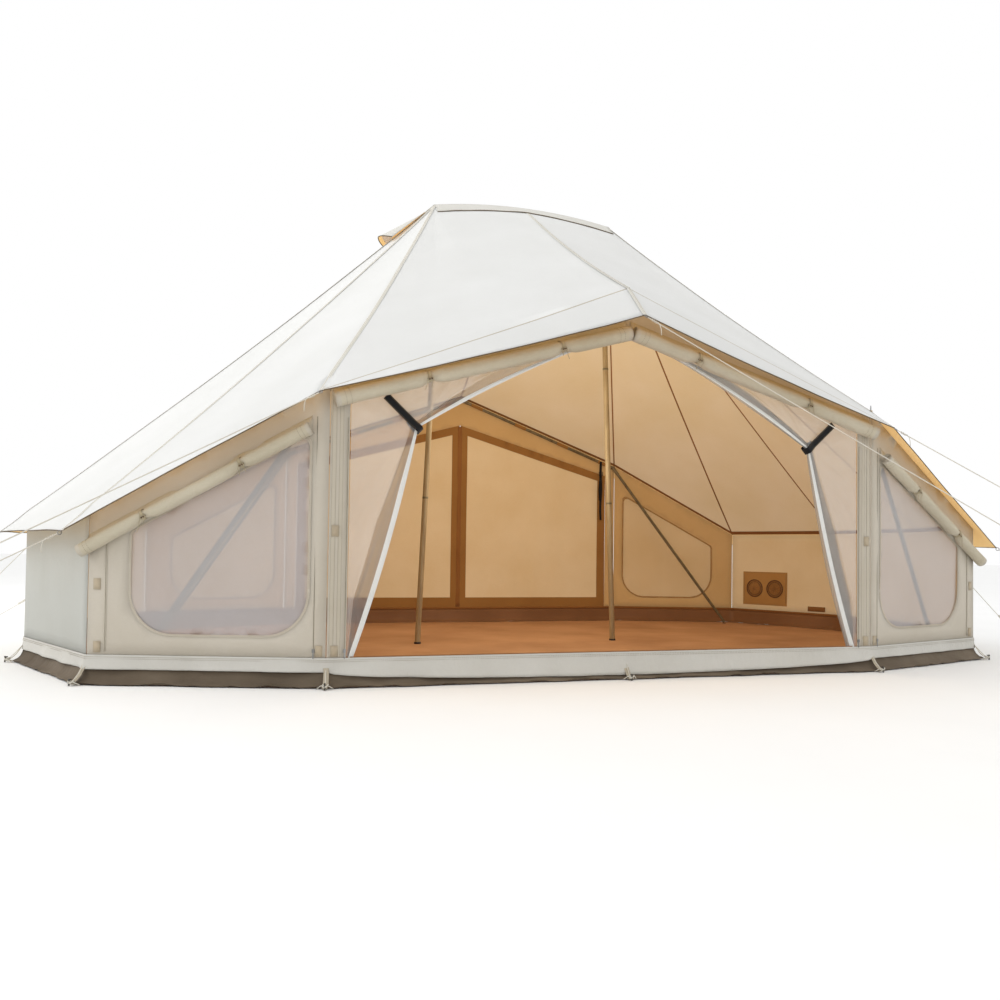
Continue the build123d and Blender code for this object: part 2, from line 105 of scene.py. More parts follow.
# %% Camera and light
camera_data = bpy.data.cameras.new("camera")
camera_data.sensor_width = 36.0
camera_data.lens = 31.7
camera_data.shift_y = 0.028
camera_data.clip_end = 200.0
camera = bpy.data.objects.new("camera", camera_data)
scene.collection.objects.link(camera)
camera_yaw, camera_pitch, camera_roll = radians(16.91), radians(1.49), radians(0.80)
camera.matrix_world = (Matrix.Translation((-1.926, -5.862, 0.638))
                       @ Matrix.Rotation(-camera_yaw, 4, "Z")
                       @ Matrix.Rotation(pi / 2 + camera_pitch, 4, "X")
                       @ Matrix.Rotation(camera_roll, 4, "Z"))
scene.camera = camera
scene.view_settings.view_transform = "Standard"

world = bpy.data.worlds.new("studio")
scene.world = world
world.use_nodes = True
world.node_tree.nodes["Background"].inputs["Color"].default_value = (1.0, 1.0, 1.0, 1)
world.node_tree.nodes["Background"].inputs["Strength"].default_value = 1.0


def area_light(name, place, target, size, power, colour=(1, 1, 1)):
    light = bpy.data.lights.new(name, "AREA")
    light.shape = "DISK"
    light.size = size
    light.energy = power
    light.color = colour
    lamp = bpy.data.objects.new(name, light)
    lamp.location = place
    lamp.rotation_euler = (Vector(target) - Vector(place)).to_track_quat("-Z", "Y").to_euler()
    scene.collection.objects.link(lamp)
    return lamp


area_light("sky_left", (-9.5, -0.5, 6.5), (0, 0, 1.0), 6.0, 305)
area_light("sky_right", (7.5, -3.5, 6.5), (0, 0, 1.0), 6.0, 20)
area_light("sky_back", (0.5, 8.0, 7.0), (0, 0, 1.2), 6.0, 60)
glow_data = bpy.data.lights.new("inner_glow", "POINT")
glow_data.energy, glow_data.shadow_soft_size, glow_data.color = 34.0, 0.6, (1.0, 0.90, 0.74)
inner_glow = bpy.data.objects.new("inner_glow", glow_data)
inner_glow.location = (0.1, -0.2, 1.45)
scene.collection.objects.link(inner_glow)

# %% [markdown]
# A finish is a small node tree. To write its maths as ordinary Python, one class wraps a shader socket
# and gives it the arithmetic operators, and one method makes any other node from its settings and inputs.

# %% Shader helpers
class Socket:
    """A shader output that takes part in sums."""

    def __init__(self, finish, output):
        self.finish, self.output = finish, output

    def sum(self, operation, left, right):
        return self.finish.node("ShaderNodeMath", {"operation": operation}, {0: left, 1: right})

    def __add__(self, other):
        return self.sum("ADD", self, other)

    def __sub__(self, other):
        return self.sum("SUBTRACT", self, other)

    def __rsub__(self, other):
        return self.sum("SUBTRACT", other, self)

    def __mul__(self, other):
        return self.sum("MULTIPLY", self, other)

    def __pow__(self, other):
        return self.sum("POWER", self, other)

    __radd__, __rmul__ = __add__, __mul__


class Finish:
    def __init__(self, name, **constants):
        self.material = bpy.data.materials.new(name)
        self.material.use_nodes = True
        self.tree = self.material.node_tree
        self.shader = self.tree.nodes["Principled BSDF"]
        for name_of_input, value in constants.items():
            self.shader.inputs[name_of_input.replace("_", " ")].default_value = value

    def node(self, kind, settings=None, inputs=None, output=0):
        made = self.tree.nodes.new(kind)
        for key, value in (settings or {}).items():
            if key == "stops":
                for stop, (place, level) in zip(made.color_ramp.elements, value):
                    stop.position, stop.color = place, (level, level, level, 1)
            else:
                setattr(made, key, value)
        for key, value in (inputs or {}).items():
            if isinstance(value, Socket):
                self.tree.links.new(value.output, made.inputs[key])
            else:
                made.inputs[key].default_value = value
        return Socket(self, made.outputs[output])

    def place(self, stretch=(1, 1, 1), uv=False):
        """The point being shaded, in the object's metres or along the cloth."""
        point = self.node("ShaderNodeTexCoord", output=2 if uv else 3)
        return self.node("ShaderNodeMapping", {}, {"Vector": point, "Scale": stretch})

    def clouds(self, scale, detail=3.0, stretch=(1, 1, 1), uv=False):
        return self.node("ShaderNodeTexNoise", {}, {"Vector": self.place(stretch, uv), "Scale": scale,
                                                    "Detail": detail})

    def waves(self, scale, direction, uv=False, distortion=0.0):
        return self.node("ShaderNodeTexWave", {"bands_direction": direction},
                         {"Vector": self.place(uv=uv), "Scale": scale, "Distortion": distortion}, 1)

    def ramp(self, value, low, high, bottom=0.0, top=1.0):
        return self.node("ShaderNodeMapRange", {}, {"Value": value, "From Min": low, "From Max": high,
                                                   "To Min": bottom, "To Max": top})

    def blend(self, factor, a, b):
        return self.node("ShaderNodeMix", {"data_type": "RGBA"}, {0: factor, 6: a, 7: b}, 2)

    def link(self, name, value):
        self.tree.links.new(value.output, self.shader.inputs[name])

    def bump(self, height, strength, distance):
        self.link("Normal", self.node("ShaderNodeBump", {}, {"Height": height, "Strength": strength,
                                                            "Distance": distance}))


def rgb(red, green, blue):
    """A linear colour from the usual 0 to 255 levels."""
    return tuple((level / 255) ** 2.2 for level in (red, green, blue)) + (1.0,)


# %% [markdown]
# Canvas shows its plain weave as a fine cross of threads, slight clouds of colour, and soft creases. The
# same recipe makes the roof, the walls, the rolled covers and the linings. Daylight comes through cotton
# canvas, so the linings also glow a little, which an emission in their own colour stands for: painted
# light. The linings' colours are painted light and shade too: one inner canvas, golden under the eave
# where much light comes through, dark brown where doubled cloth lets little through.

# %% Cloth finishes
def woven(name, colour, second, glow=0.0, rough=0.88, weave=420.0, crease=0.35, mottle=2.3, alpha=1.0,
          crease_scale=1.7):
    finish = Finish(name, Roughness=rough, Sheen_Weight=0.12, Sheen_Roughness=0.5,
                    Specular_IOR_Level=0.25)
    patches = finish.ramp(finish.clouds(mottle, 5.0), 0.3, 0.72)
    slubs = finish.ramp(finish.clouds(60.0, 2.0, (1, 1, 7)), 0.35, 0.75)
    tint = finish.blend(patches * 0.75 + slubs * 0.25, colour, second)
    finish.link("Base Color", tint)
    # The emission is painted light: daylight coming through the cloth.
    if glow:
        finish.link("Emission Color", tint)
        finish.shader.inputs["Emission Strength"].default_value = glow
    threads = finish.waves(weave, "X", uv=True) * 0.5 + finish.waves(weave, "Y", uv=True) * 0.5
    creases = finish.clouds(crease_scale, 4.0, (1.0, 1.0, 0.55))
    fine_creases = finish.clouds(crease_scale * 4.5, 3.0, (1.6, 1.6, 0.5))
    finish.bump(threads * 0.02 + creases * crease + fine_creases * (crease * 0.22), 0.7, 0.035)
    if alpha < 1:
        holes = finish.ramp(threads, 0.2, 0.8, alpha - 0.08, alpha + 0.08)
        finish.link("Alpha", holes)
    return finish.material


ROOF = woven("roof_canvas", rgb(231, 231, 229), rgb(224, 224, 221), crease=0.45)
WALL = woven("wall_canvas", rgb(206, 198, 184), rgb(194, 185, 168), crease=0.85)
# The end walls' canvas is set greyer and darker than the window walls', to keep them dimmer than the lit
# roof: painted shade.
END_WALL = woven("end_canvas", rgb(190, 191, 185), rgb(180, 180, 172), crease=0.8)
ROLLED = woven("rolled_canvas", rgb(206, 197, 176), rgb(186, 176, 152), crease=0.9, crease_scale=9.0)
BAND = woven("base_canvas", rgb(212, 210, 203), rgb(198, 195, 186), rough=0.6, crease=0.9,
             crease_scale=5.0)
TAPE = woven("binding_tape", rgb(202, 194, 178), rgb(190, 181, 163), weave=300.0, crease=0.2)
PIPING = woven("eave_piping", rgb(112, 96, 76), rgb(92, 78, 60), crease=0.1)
ROOF_LINING = woven("roof_lining", rgb(214, 198, 168), rgb(206, 187, 148), glow=0.31, crease=0.35)
# Under the eave the lining is golden and glows strongly: painted light, for daylight coming through the
# canvas there.
EAVE_LINING = woven("eave_lining", rgb(230, 192, 132), rgb(216, 176, 114), glow=0.55)
PANEL_LINING = woven("panel_lining", rgb(206, 184, 148), rgb(196, 170, 128), glow=0.29, crease=0.5)
# The strip lining's dark brown is painted shade: doubled cloth, seen from inside, lets less daylight through.
# Its glow is painted light.
STRIP_LINING = woven("strip_lining", rgb(150, 108, 60), rgb(134, 94, 50), glow=0.13, crease=0.5)
WINDOW_NET = woven("window_net", rgb(208, 207, 208), rgb(198, 196, 196), rough=0.7, weave=260.0,
                   crease=0.1, alpha=0.64)
# The door and rear nets' glow is painted light, for daylight falling on the thin net.
DOOR_NET = woven("door_net", rgb(226, 224, 221), rgb(216, 213, 208), rough=0.7, weave=260.0, crease=0.1,
                 alpha=0.42, glow=0.12)
REAR_NET = woven("rear_net", rgb(200, 168, 120), rgb(188, 155, 108), rough=0.7, weave=260.0, crease=0.1,
                 alpha=0.30, glow=0.20)
NET_HEM = woven("net_hem", rgb(236, 236, 232), rgb(222, 222, 218), crease=0.2)
WEBBING = woven("beige_webbing", rgb(196, 186, 166), rgb(172, 160, 140), weave=900.0, crease=0.1)
BLACK_WEBBING = woven("black_webbing", rgb(34, 34, 36), rgb(24, 24, 26), weave=900.0, crease=0.1)
ROPE = woven("braided_rope", rgb(226, 222, 210), rgb(206, 200, 186), weave=1500.0, crease=0.02)
# The rear window walls' and rear door surround's lining is a darker copy of the panel lining: painted shade,
# with a painted glow.
SHADED_LINING = woven("shaded_lining", rgb(190, 156, 108), rgb(178, 143, 94), glow=0.24, crease=0.5)
LABEL = woven("blank_label", rgb(150, 108, 66), rgb(138, 96, 56), crease=0.1)
# The port patch's glow is painted light: daylight through the cloth.
PATCH = woven("port_patch", rgb(176, 132, 80), rgb(156, 114, 64), glow=0.14, crease=0.2)
THREAD = woven("stitch_thread", rgb(150, 136, 110), rgb(136, 122, 96), weave=2000.0, crease=0.0)
print("cloth finishes made")

# %% [markdown]
# The floor and the mud skirt are coated sheet, so they are smoother than canvas, creased where the sheet
# was folded, and a little dusty. The poles are painted steel with a dull sheen.

# %% Coated sheet, metal and plastic
def coated(name, colour, second, rough, crease, crease_scale, glow=0.0):
    finish = Finish(name, Specular_IOR_Level=0.35)
    dust = finish.ramp(finish.clouds(1.6, 6.0), 0.35, 0.7)
    tint = finish.blend(dust, colour, second)
    finish.link("Base Color", tint)
    if glow:
        finish.link("Emission Color", tint)
        finish.shader.inputs["Emission Strength"].default_value = glow
    finish.link("Roughness", finish.ramp(dust, 0.0, 1.0, rough, min(1.0, rough + 0.2)))
    folds = finish.clouds(crease_scale, 5.0, (0.6, 1.5, 1.0))
    grain = finish.clouds(400.0, 2.0)
    finish.bump(folds * crease + grain * 0.01, 0.6, 0.04)
    return finish.material


def metal(name, colour, second, rough, metallic, flecks=40.0):
    finish = Finish(name, Metallic=metallic)
    wear = finish.ramp(finish.clouds(flecks, 6.0, (1, 1, 0.12)), 0.4, 0.7)
    finish.link("Base Color", finish.blend(wear, colour, second))
    finish.link("Roughness", finish.ramp(wear, 0.0, 1.0, rough, rough + 0.18))
    finish.bump(finish.clouds(900.0, 2.0, (1, 1, 0.1)), 0.12, 0.001)
    return finish.material


# The floor's and the upstand's glow is painted light that lifts them in the tent's dim inside. The upstand is
# the same sheet turned up, set darker: painted shade at the foot of the walls.
FLOOR_SHEET = coated("floor_sheet", rgb(184, 136, 96), rgb(160, 116, 80), 0.6, 0.8, 2.2, glow=0.09)
UPSTAND = coated("upstand_sheet", rgb(132, 92, 60), rgb(114, 78, 50), 0.5, 0.9, 3.0, glow=0.05)
# The skirt's dark olive is partly its own colour and partly painted shade: it is darkened for the shadow it
# lies in at the foot of the walls.
SKIRT = coated("skirt_sheet", rgb(118, 105, 88), rgb(84, 73, 60), 0.65, 1.6, 4.0)
# The centre poles' paint is set lighter than the A-frame's paint: painted light that lifts them in the tent's
# dim inside.
POLE = metal("pole_paint", rgb(166, 146, 110), rgb(142, 122, 90), 0.45, 0.1)
FRAME_POLE = metal("frame_paint", rgb(118, 108, 84), rgb(96, 86, 64), 0.45, 0.1)
STEEL = metal("steel", rgb(150, 150, 150), rgb(118, 116, 112), 0.3, 1.0)
PEG_STEEL = metal("peg_steel", rgb(92, 90, 86), rgb(70, 66, 60), 0.45, 0.9)
BRASS = metal("eyelet_brass", rgb(190, 160, 100), rgb(150, 120, 70), 0.3, 1.0)
BLACK_PLASTIC = metal("moulded_fitting", rgb(44, 42, 40), rgb(34, 32, 30), 0.5, 0.0)
RUNNER_PLASTIC = metal("runner_plastic", rgb(220, 216, 204), rgb(206, 200, 186), 0.45, 0.0)
ZIP_TEETH = metal("zip_teeth", rgb(120, 110, 92), rgb(98, 90, 74), 0.5, 0.0)
print("other finishes made")

# %% [markdown]
# Ropes. Each guy rope is one soft curve from the ring at an eave's tip to its peg, taut but with the
# small sag that its own weight gives it. Three control points are enough. The runner that tightens it is
# a CAD node, and so are the peg and the ring.

# %% Guy ropes
ROPE_RADIUS = 0.0025
ROPE_SAG = 0.006
ROPES = {
    "front_peak": ((0.0095, -1.9509, 1.7965), (3.0073, -2.772, 0.05)),
    "front_left_door": ((-1.5704, -1.8687, 1.3334), (-3.707, -2.8031, 0.05)),
    "front_right_door": ((1.5701, -1.8689, 1.3332), (3.5669, -2.8032, 0.05)),
    "front_left_low": ((-2.6798, -1.488, 0.6879), (-3.7261, -2.3048, 0.05)),
    "front_right_low": ((2.6797, -1.4875, 0.6872), (3.5861, -2.1545, 0.05)),
    "front_left_end": ((-3.1432, -0.5212, 0.6867), (-3.7666, -0.7626, 0.05)),
    "front_right_end": ((3.1422, -0.5215, 0.6859), (3.6262, -0.7631, 0.05)),
    "rear_left_end": ((-3.1432, 0.5212, 0.6867), (-3.7666, 0.7626, 0.05)),
    "rear_right_end": ((3.1422, 0.5215, 0.6859), (3.6262, 0.7631, 0.05)),
    "rear_left_low": ((-2.6809, 1.4853, 0.6871), (-3.7071, 1.8828, 0.05)),
}


def add_object(name, data, *materials):
    thing = bpy.data.objects.new(name, data)
    scene.collection.objects.link(thing)
    for material in materials:
        data.materials.append(material)
    return thing


for name, (start, stop) in ROPES.items():
    start, stop = Vector(start), Vector(stop)
    middle = (start + stop) / 2 - UP * ROPE_SAG * 2
    line = bpy.data.curves.new(name + "_line", "CURVE")
    line.dimensions = "3D"
    line.bevel_depth = ROPE_RADIUS
    line.bevel_resolution = 3
    line.resolution_u = 24
    spline = line.splines.new("NURBS")
    spline.points.add(2)
    for point, place in zip(spline.points, (start, middle, stop)):
        point.co = (*place, 1)
    spline.order_u = 3
    spline.use_endpoint_u = True
    rope = add_object(name + "_guy", line, ROPE)
    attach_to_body(rope, "tent")
    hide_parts(name + "_rope")
    (stop - start).length
    print(name, round((stop - start).length, 3), "m")

# %% [markdown]
# Cloth pieces. A sheet is a grid of points, so one small class collects grids and flat cut panels into a
# mesh. It gives every face a UV in metres along the cloth, so the weave has its true size anywhere, and it
# turns each patch to face away from a point inside the tent. Solidify then gives the cloth its thickness,
# with the lining's finish on the inner face.

# %% Collecting cloth
from mathutils.geometry import delaunay_2d_cdt
import bmesh

INSIDE = Vector((0, 0, 1.0))


class Cloth:
    def __init__(self):
        self.mesh = bmesh.new()
        self.uv = self.mesh.loops.layers.uv.new("cloth")

    def add(self, points, faces, uvs, side=0, inside=INSIDE, out=None):
        """Faces over points; out is a direction, or else the patch faces away from inside."""
        vertices = [self.mesh.verts.new(p) for p in points]
        made = []
        facing = 0.0
        for face in faces:
            try:
                new = self.mesh.faces.new([vertices[i] for i in face])
            except ValueError:
                continue
            new.material_index = side(face) if callable(side) else side
            new.smooth = True
            for loop, i in zip(new.loops, face):
                loop[self.uv].uv = uvs[i]
            new.normal_update()
            away = out if out is not None else new.calc_center_median() - inside
            facing += new.normal.dot(away) * new.calc_area()
            made.append(new)
        if facing < 0:
            bmesh.ops.reverse_faces(self.mesh, faces=made)
        return vertices

    def grid(self, rows, side=0, inside=INSIDE, out=None):
        """Rows of points, each as long as the next; UV follows the cloth's own lengths."""
        wide = len(rows[0])
        middle = rows[len(rows) // 2]
        across = [0.0]
        for a, b in zip(middle, middle[1:]):
            across.append(across[-1] + (b - a).length)
        down = [0.0]
        for a, b in zip(rows, rows[1:]):
            down.append(down[-1] + (b[wide // 2] - a[wide // 2]).length)
        uvs, points = [], []
        for v, row in zip(down, rows):
            total = sum((b - a).length for a, b in zip(row, row[1:]))
            stretch = total / across[-1] if across[-1] else 1.0
            for u, point in zip(across, row):
                uvs.append(((u - across[-1] / 2) * stretch, v))
                points.append(point)
        faces = [(j * wide + i, j * wide + i + 1, (j + 1) * wide + i + 1, (j + 1) * wide + i)
                 for j in range(len(rows) - 1) for i in range(wide - 1)]
        return self.add(points, faces, uvs, side, inside, out)

    def cut(self, outline, holes, place, step=0.07, side=0, **facing):
        """A panel cut to a 2D outline with holes, set in space by place(u, v)."""
        points = list(outline)
        edges = [(i, (i + 1) % len(outline)) for i in range(len(outline))]
        for hole in holes:
            first = len(points)
            points += hole
            edges += [(first + i, first + (i + 1) % len(hole)) for i in range(len(hole))]
        lows = [min(p[k] for p in outline) for k in (0, 1)]
        highs = [max(p[k] for p in outline) for k in (0, 1)]
        counts = [max(2, round((b - a) / step)) for a, b in zip(lows, highs)]
        for i in range(1, counts[0]):
            for j in range(1, counts[1]):
                spot = (lerp(lows[0], highs[0], i / counts[0]), lerp(lows[1], highs[1], j / counts[1]))
                if within(spot, outline, step * 0.35) and not any(near(spot, h, step * 0.35)
                                                                 for h in holes):
                    points.append(spot)
        found = delaunay_2d_cdt([Vector(p) for p in points], edges, [], 1, 1e-5, False)
        flat, faces = found[0], found[2]
        kept = []
        for face in faces:
            middle = sum((flat[i] for i in face), Vector((0, 0))) / len(face)
            if within(middle, outline, 0) and not any(within(middle, h, 0) for h in holes):
                kept.append(face)
        return self.add([place(*p) for p in flat], kept, [tuple(p) for p in flat], side, **facing)

    def tube(self, points, radius, sides=6, side=0, closed=False):
        """A round bar through points, capped at its ends."""
        points = [Vector(point) for point in points]
        count = len(points)
        rings = []
        normal = None
        for i, point in enumerate(points):
            after = points[(i + 1) % count] if closed or i < count - 1 else point
            before = points[i - 1] if closed or i else point
            line = (after - before).normalized()
            if normal is None:
                normal = line.orthogonal().normalized()
            normal = (normal - line * normal.dot(line)).normalized()
            other = line.cross(normal)
            thick = radius[i] if isinstance(radius, list) else radius
            rings.append([self.mesh.verts.new(point + (normal * cos(2 * pi * k / sides)
                                                       + other * sin(2 * pi * k / sides)) * thick)
                          for k in range(sides)])
        run = 0.0
        for i in range(count if closed else count - 1):
            a, b = rings[i], rings[(i + 1) % count]
            for k in range(sides):
                face = self.mesh.faces.new((a[k], a[(k + 1) % sides], b[(k + 1) % sides], b[k]))
                face.smooth = True
                face.material_index = side
                for loop, uv in zip(face.loops, ((k, 0), (k + 1, 0), (k + 1, 1), (k, 1))):
                    loop[self.uv].uv = (uv[0] * 0.002, run + uv[1] * 0.01)
            run += 0.01
        if not closed:
            for ring, turn in ((rings[0], -1), (rings[-1], 1)):
                face = self.mesh.faces.new(ring[::turn])
                face.material_index = side

    def finish(self, name, slot, materials, replaces=(), thick=0.0, offset=1.0, lined=True, weld=0.0006,
               body="tent"):
        bmesh.ops.remove_doubles(self.mesh, verts=self.mesh.verts, dist=weld)
        data = bpy.data.meshes.new(name)
        self.mesh.to_mesh(data)
        self.mesh.free()
        piece = add_object(name, data, *materials)
        if thick:
            wall = piece.modifiers.new("cloth thickness", "SOLIDIFY")
            wall.thickness = thick
            wall.offset = offset
            wall.material_offset = 1 if lined else 0
        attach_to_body(piece, body)
        if replaces:
            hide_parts(*replaces)
        print(name, len(data.polygons), "faces")
        return piece


def within(spot, outline, margin):
    x, y = spot
    inside = False
    for (ax, ay), (bx, by) in zip(outline, outline[1:] + outline[:1]):
        if (ay > y) != (by > y) and x < (bx - ax) * (y - ay) / (by - ay) + ax:
            inside = not inside
    return inside and not (margin and on_edge(spot, outline, margin))


def on_edge(spot, outline, margin):
    p = Vector(spot)
    for a, b in zip(outline, outline[1:] + outline[:1]):
        a, b = Vector(a), Vector(b)
        run = b - a
        t = max(0.0, min(1.0, (p - a).dot(run) / max(run.length_squared, 1e-12)))
        if (a + run * t - p).length < margin:
            return True
    return False


def near(spot, hole, margin):
    return within(spot, hole, 0) or on_edge(spot, hole, margin)


def dense(points, step):
    """The same closed outline with points no further apart than step."""
    made = []
    for a, b in zip(points, points[1:] + points[:1]):
        count = max(1, round(hypot(b[0] - a[0], b[1] - a[1]) / step))
        made += [(lerp(a[0], b[0], i / count), lerp(a[1], b[1], i / count)) for i in range(count)]
    return made


def even(points, count):
    """A closed outline as count points, evenly spaced along it."""
    loop = [Vector(p) for p in points]
    loop.append(loop[0])
    sums = [0.0]
    for p, q in zip(loop, loop[1:]):
        sums.append(sums[-1] + (q - p).length)
    made, j = [], 0
    for i in range(count):
        goal = sums[-1] * i / count
        while sums[j + 1] < goal:
            j += 1
        k = (goal - sums[j]) / max(sums[j + 1] - sums[j], 1e-9)
        made.append(tuple(lerp(loop[j], loop[j + 1], k)))
    return made


# %% [markdown]
# The roof is one sheet. Canvas hangs a little between its supports: each seam dips between the pole top
# and the wall, each gore dips between its seams, and the eave's edge curves in between the corners that
# the ropes pull. Where the roof passes over the wall it lies on the wall's top edge, so there it dips
# nowhere. One function gives every point, and the cap, the seams and the piping ask it for theirs.

# %% Roof shape
GORE_SAG = 0.022
EAVE_SCALLOP = 0.010
BROW_FOLD = 0.4  # where the roof breaks down into the brow over a door, from the wall to the eave
WALL_LINE = 0.88  # where the roof crosses the wall, from the top, 0, to the eave, 1


def eave_tip(sx, sy, kind):
    run = corner(sx, sy, kind) - apex(sx)
    return apex(sx) + run * (1 + OVERHANG / hypot(run.x, run.y))


def gore_ends(a, b, s):
    """Top, wall and eave points of one line down a gore between corners a and b."""
    if b == "peak":  # a door gore, from the middle out to its corner
        sx, sy, kind = a
        top = ridge(sx * min(POLE_TOP, PLAN["door"][0] * s))
        wall = lerp(peak(sy), corner(sx, sy, "door"), s)
        tip = lerp(peak_tip(sy), eave_tip(sx, sy, "door"), s)
    else:
        top = apex(a[0])
        wall = lerp(corner(*a), corner(*b), s)
        tip = lerp(eave_tip(*a), eave_tip(*b), s)
    return top, wall, tip


def roof_point(a, b, s, t):
    """A point of the roof's underside: s runs along the wall, and t from the top to the eave."""
    top, wall, tip = gore_ends(a, b, s)
    between = 4 * s * (1 - s)
    if b == "peak":
        between = 4 * s * (1 - s) if s < 0.43 else (1 - s) * 3.0
        between = min(1.0, between)
    if t <= WALL_LINE:
        k = t / WALL_LINE
        point = lerp(top, wall, k)
        dip = SEAM_SAG * 4 * k * (1 - k) + GORE_SAG * between * sin(pi * k ** 0.8)
        spread = noise.noise(point * 1.3) * 0.006 * sin(pi * k)
        return point - UP * (dip + spread)
    k = (t - WALL_LINE) / (1 - WALL_LINE)
    if b == "peak":
        fold = lerp(peak(a[1]), eave_tip(*a), s)
        if k < BROW_FOLD:
            point = lerp(wall, fold, k / BROW_FOLD)
        else:
            point = lerp(fold, tip, (k - BROW_FOLD) / (1 - BROW_FOLD))
        return point - UP * (0.006 * noise.noise(point * 3.0) * (1 - s) * k + 0.012 * between * k)
    scallop = EAVE_SCALLOP * between * k
    pull = (wall - tip)
    point = lerp(wall, tip, k) + pull.normalized() * scallop
    flutter = noise.noise(point * 2.6) * 0.010 * between * k
    return point - UP * (0.004 * sin(pi * k) + flutter)


GORES = []
for sx, sy in QUARTERS:
    GORES.append(((sx, sy, "door"), "peak", 30))
    GORES.append(((sx, sy, "door"), (sx, sy, "low"), 18))
    GORES.append(((sx, sy, "low"), (sx, sy, "end"), 14))
for sx in (1, -1):
    GORES.append(((sx, -1, "end"), (sx, 1, "end"), 16))
DOWN = [WALL_LINE * i / 26 for i in range(27)] + [lerp(WALL_LINE, 1, i / 10) for i in range(1, 11)]

roof = Cloth()
for a, b, columns in GORES:
    roof.grid([[roof_point(a, b, i / columns, t) for i in range(columns + 1)] for t in DOWN],
              side=lambda face, wide=columns + 1: 2 if min(face) // wide >= 26 else 0, out=UP)
# The eave's underside takes EAVE_LINING, whose golden colour and glow are painted light.
canopy = roof.finish("roof_canopy", "canvas", [ROOF, ROOF_LINING, ROOF, EAVE_LINING],
                     ["roof_sides", "roof_ends"], CLOTH)

# %% [markdown]
# Every gore is sewn to the next with a felled seam, two layers wide, which shows as a faint raised band
# with a row of stitches along each side. The eave has a dark piping. The bands are narrow strips that
# ask the roof's own function for their place and lie a millimetre above it.

# %% Roof seams and piping
SEAM_WIDTH = 0.024
seam_lines = []  # rows of points that stitches follow


def seam_band(cloth, line, across, lift):
    """A band along a line of points, with its stitch lines kept for later."""
    rows = []
    for i, point in enumerate(line):
        after = line[min(i + 1, len(line) - 1)]
        before = line[max(i - 1, 0)]
        run = (after - before).normalized()
        normal = (across.cross(run)).normalized()
        if normal.z < 0:
            normal = -normal
        wide = run.cross(normal)
        rows.append([point + normal * lift + wide * (SEAM_WIDTH * k) for k in (-0.5, -0.44, 0.44, 0.5)])
        rows[-1][0] -= normal * 0.0015
        rows[-1][3] -= normal * 0.0015
    cloth.grid(rows, out=UP)
    for k in (0.30, 0.70):
        seam_lines.append([lerp(row[1], row[2], k) + UP * 0.0003 for row in rows])


seams = Cloth()
for a, b, columns in GORES:
    if b != "peak":
        line = [roof_point(a, b, 0.0, t) for t in DOWN]
        seam_band(seams, line, Vector((line[-1].y, -line[-1].x, 0)).normalized(), CLOTH + 0.0012)
for sx in (1, -1):
    line = [roof_point((sx, -1, "end"), (sx, 1, "end"), 1.0, t) for t in DOWN]
    seam_band(seams, line, Vector((line[-1].y, -line[-1].x, 0)).normalized(), CLOTH + 0.0012)
for sy in (-1, 1):
    line = [roof_point((1, sy, "door"), "peak", 0.0, t) for t in DOWN]
    seam_band(seams, line, Vector((1, 0, 0)), CLOTH + 0.0012)
SEAM = woven("seam_canvas", rgb(232, 229, 220), rgb(224, 220, 209), crease=0.1)
seams = seams.finish("roof_seams", "canvas", [SEAM])

edges = Cloth()
for (a, b, columns) in GORES:
    points = [roof_point(a, b, i / columns, 1.0) + UP * 0.001 for i in range(columns + 1)]
    edges.tube(points, 0.0028, 6)
edges.finish("eave_piping", "canvas", [PIPING])

# %% [markdown]
# A cap of canvas is sewn over the ridge, and at each end of it a hood stands open to let the warm air out.
# The cap follows the roof a few millimetres above it. The hood is an arched flap: flat at the pole top,
# and open and high at its mouth.

# %% Ridge cap and vent hoods
CAP_DOWN = 0.11
CAP_LIFT = 0.0055
cap = Cloth()
cap_edges = Cloth()
for sy in (-1, 1):
    rows = []
    for j in range(7):
        row = []
        for i in range(-20, 21):
            x = POLE_TOP * i / 20
            sx = 1 if x >= 0 else -1
            t = CAP_DOWN * j / 6 / 2.2
            place = roof_point((sx, sy, "door"), "peak", abs(x) / PLAN["door"][0], t)
            ripple = 0.002 * noise.noise(place * 9.0) * (j / 6)
            row.append(place + Vector((0, sy * 0.45, 0.89)) * (CAP_LIFT + ripple))
        rows.append(row)
    cap.grid(rows, out=UP)
    cap_edges.tube([p + UP * 0.001 for p in rows[-1]], 0.0028, 6)
    for k in (0.35, 0.75):
        seam_lines.append([lerp(p, q, k) + UP * 0.0022 for p, q in zip(rows[-2], rows[-1])])
for sx in (1, -1):
    end_rows = []
    for j in range(9):
        a = j / 8
        end_rows.append([roof_point((sx, -1, "end"), (sx, 1, "end"), s, 0.002 + 0.055 * a)
                         + Vector((sx * 0.7, 0, 0.7)) * CAP_LIFT for s in (0.0, 0.25, 0.5, 0.75, 1.0)])
    cap.grid(end_rows, out=UP)
CAP_CANVAS = woven("cap_canvas", rgb(222, 220, 213), rgb(211, 208, 199), crease=0.3)
ridge_cap_piece = cap.finish("ridge_cap_cloth", "canvas", [CAP_CANVAS], ["ridge_cap"], CLOTH, lined=False)
cap_edges.finish("ridge_cap_piping", "canvas", [PIPING])

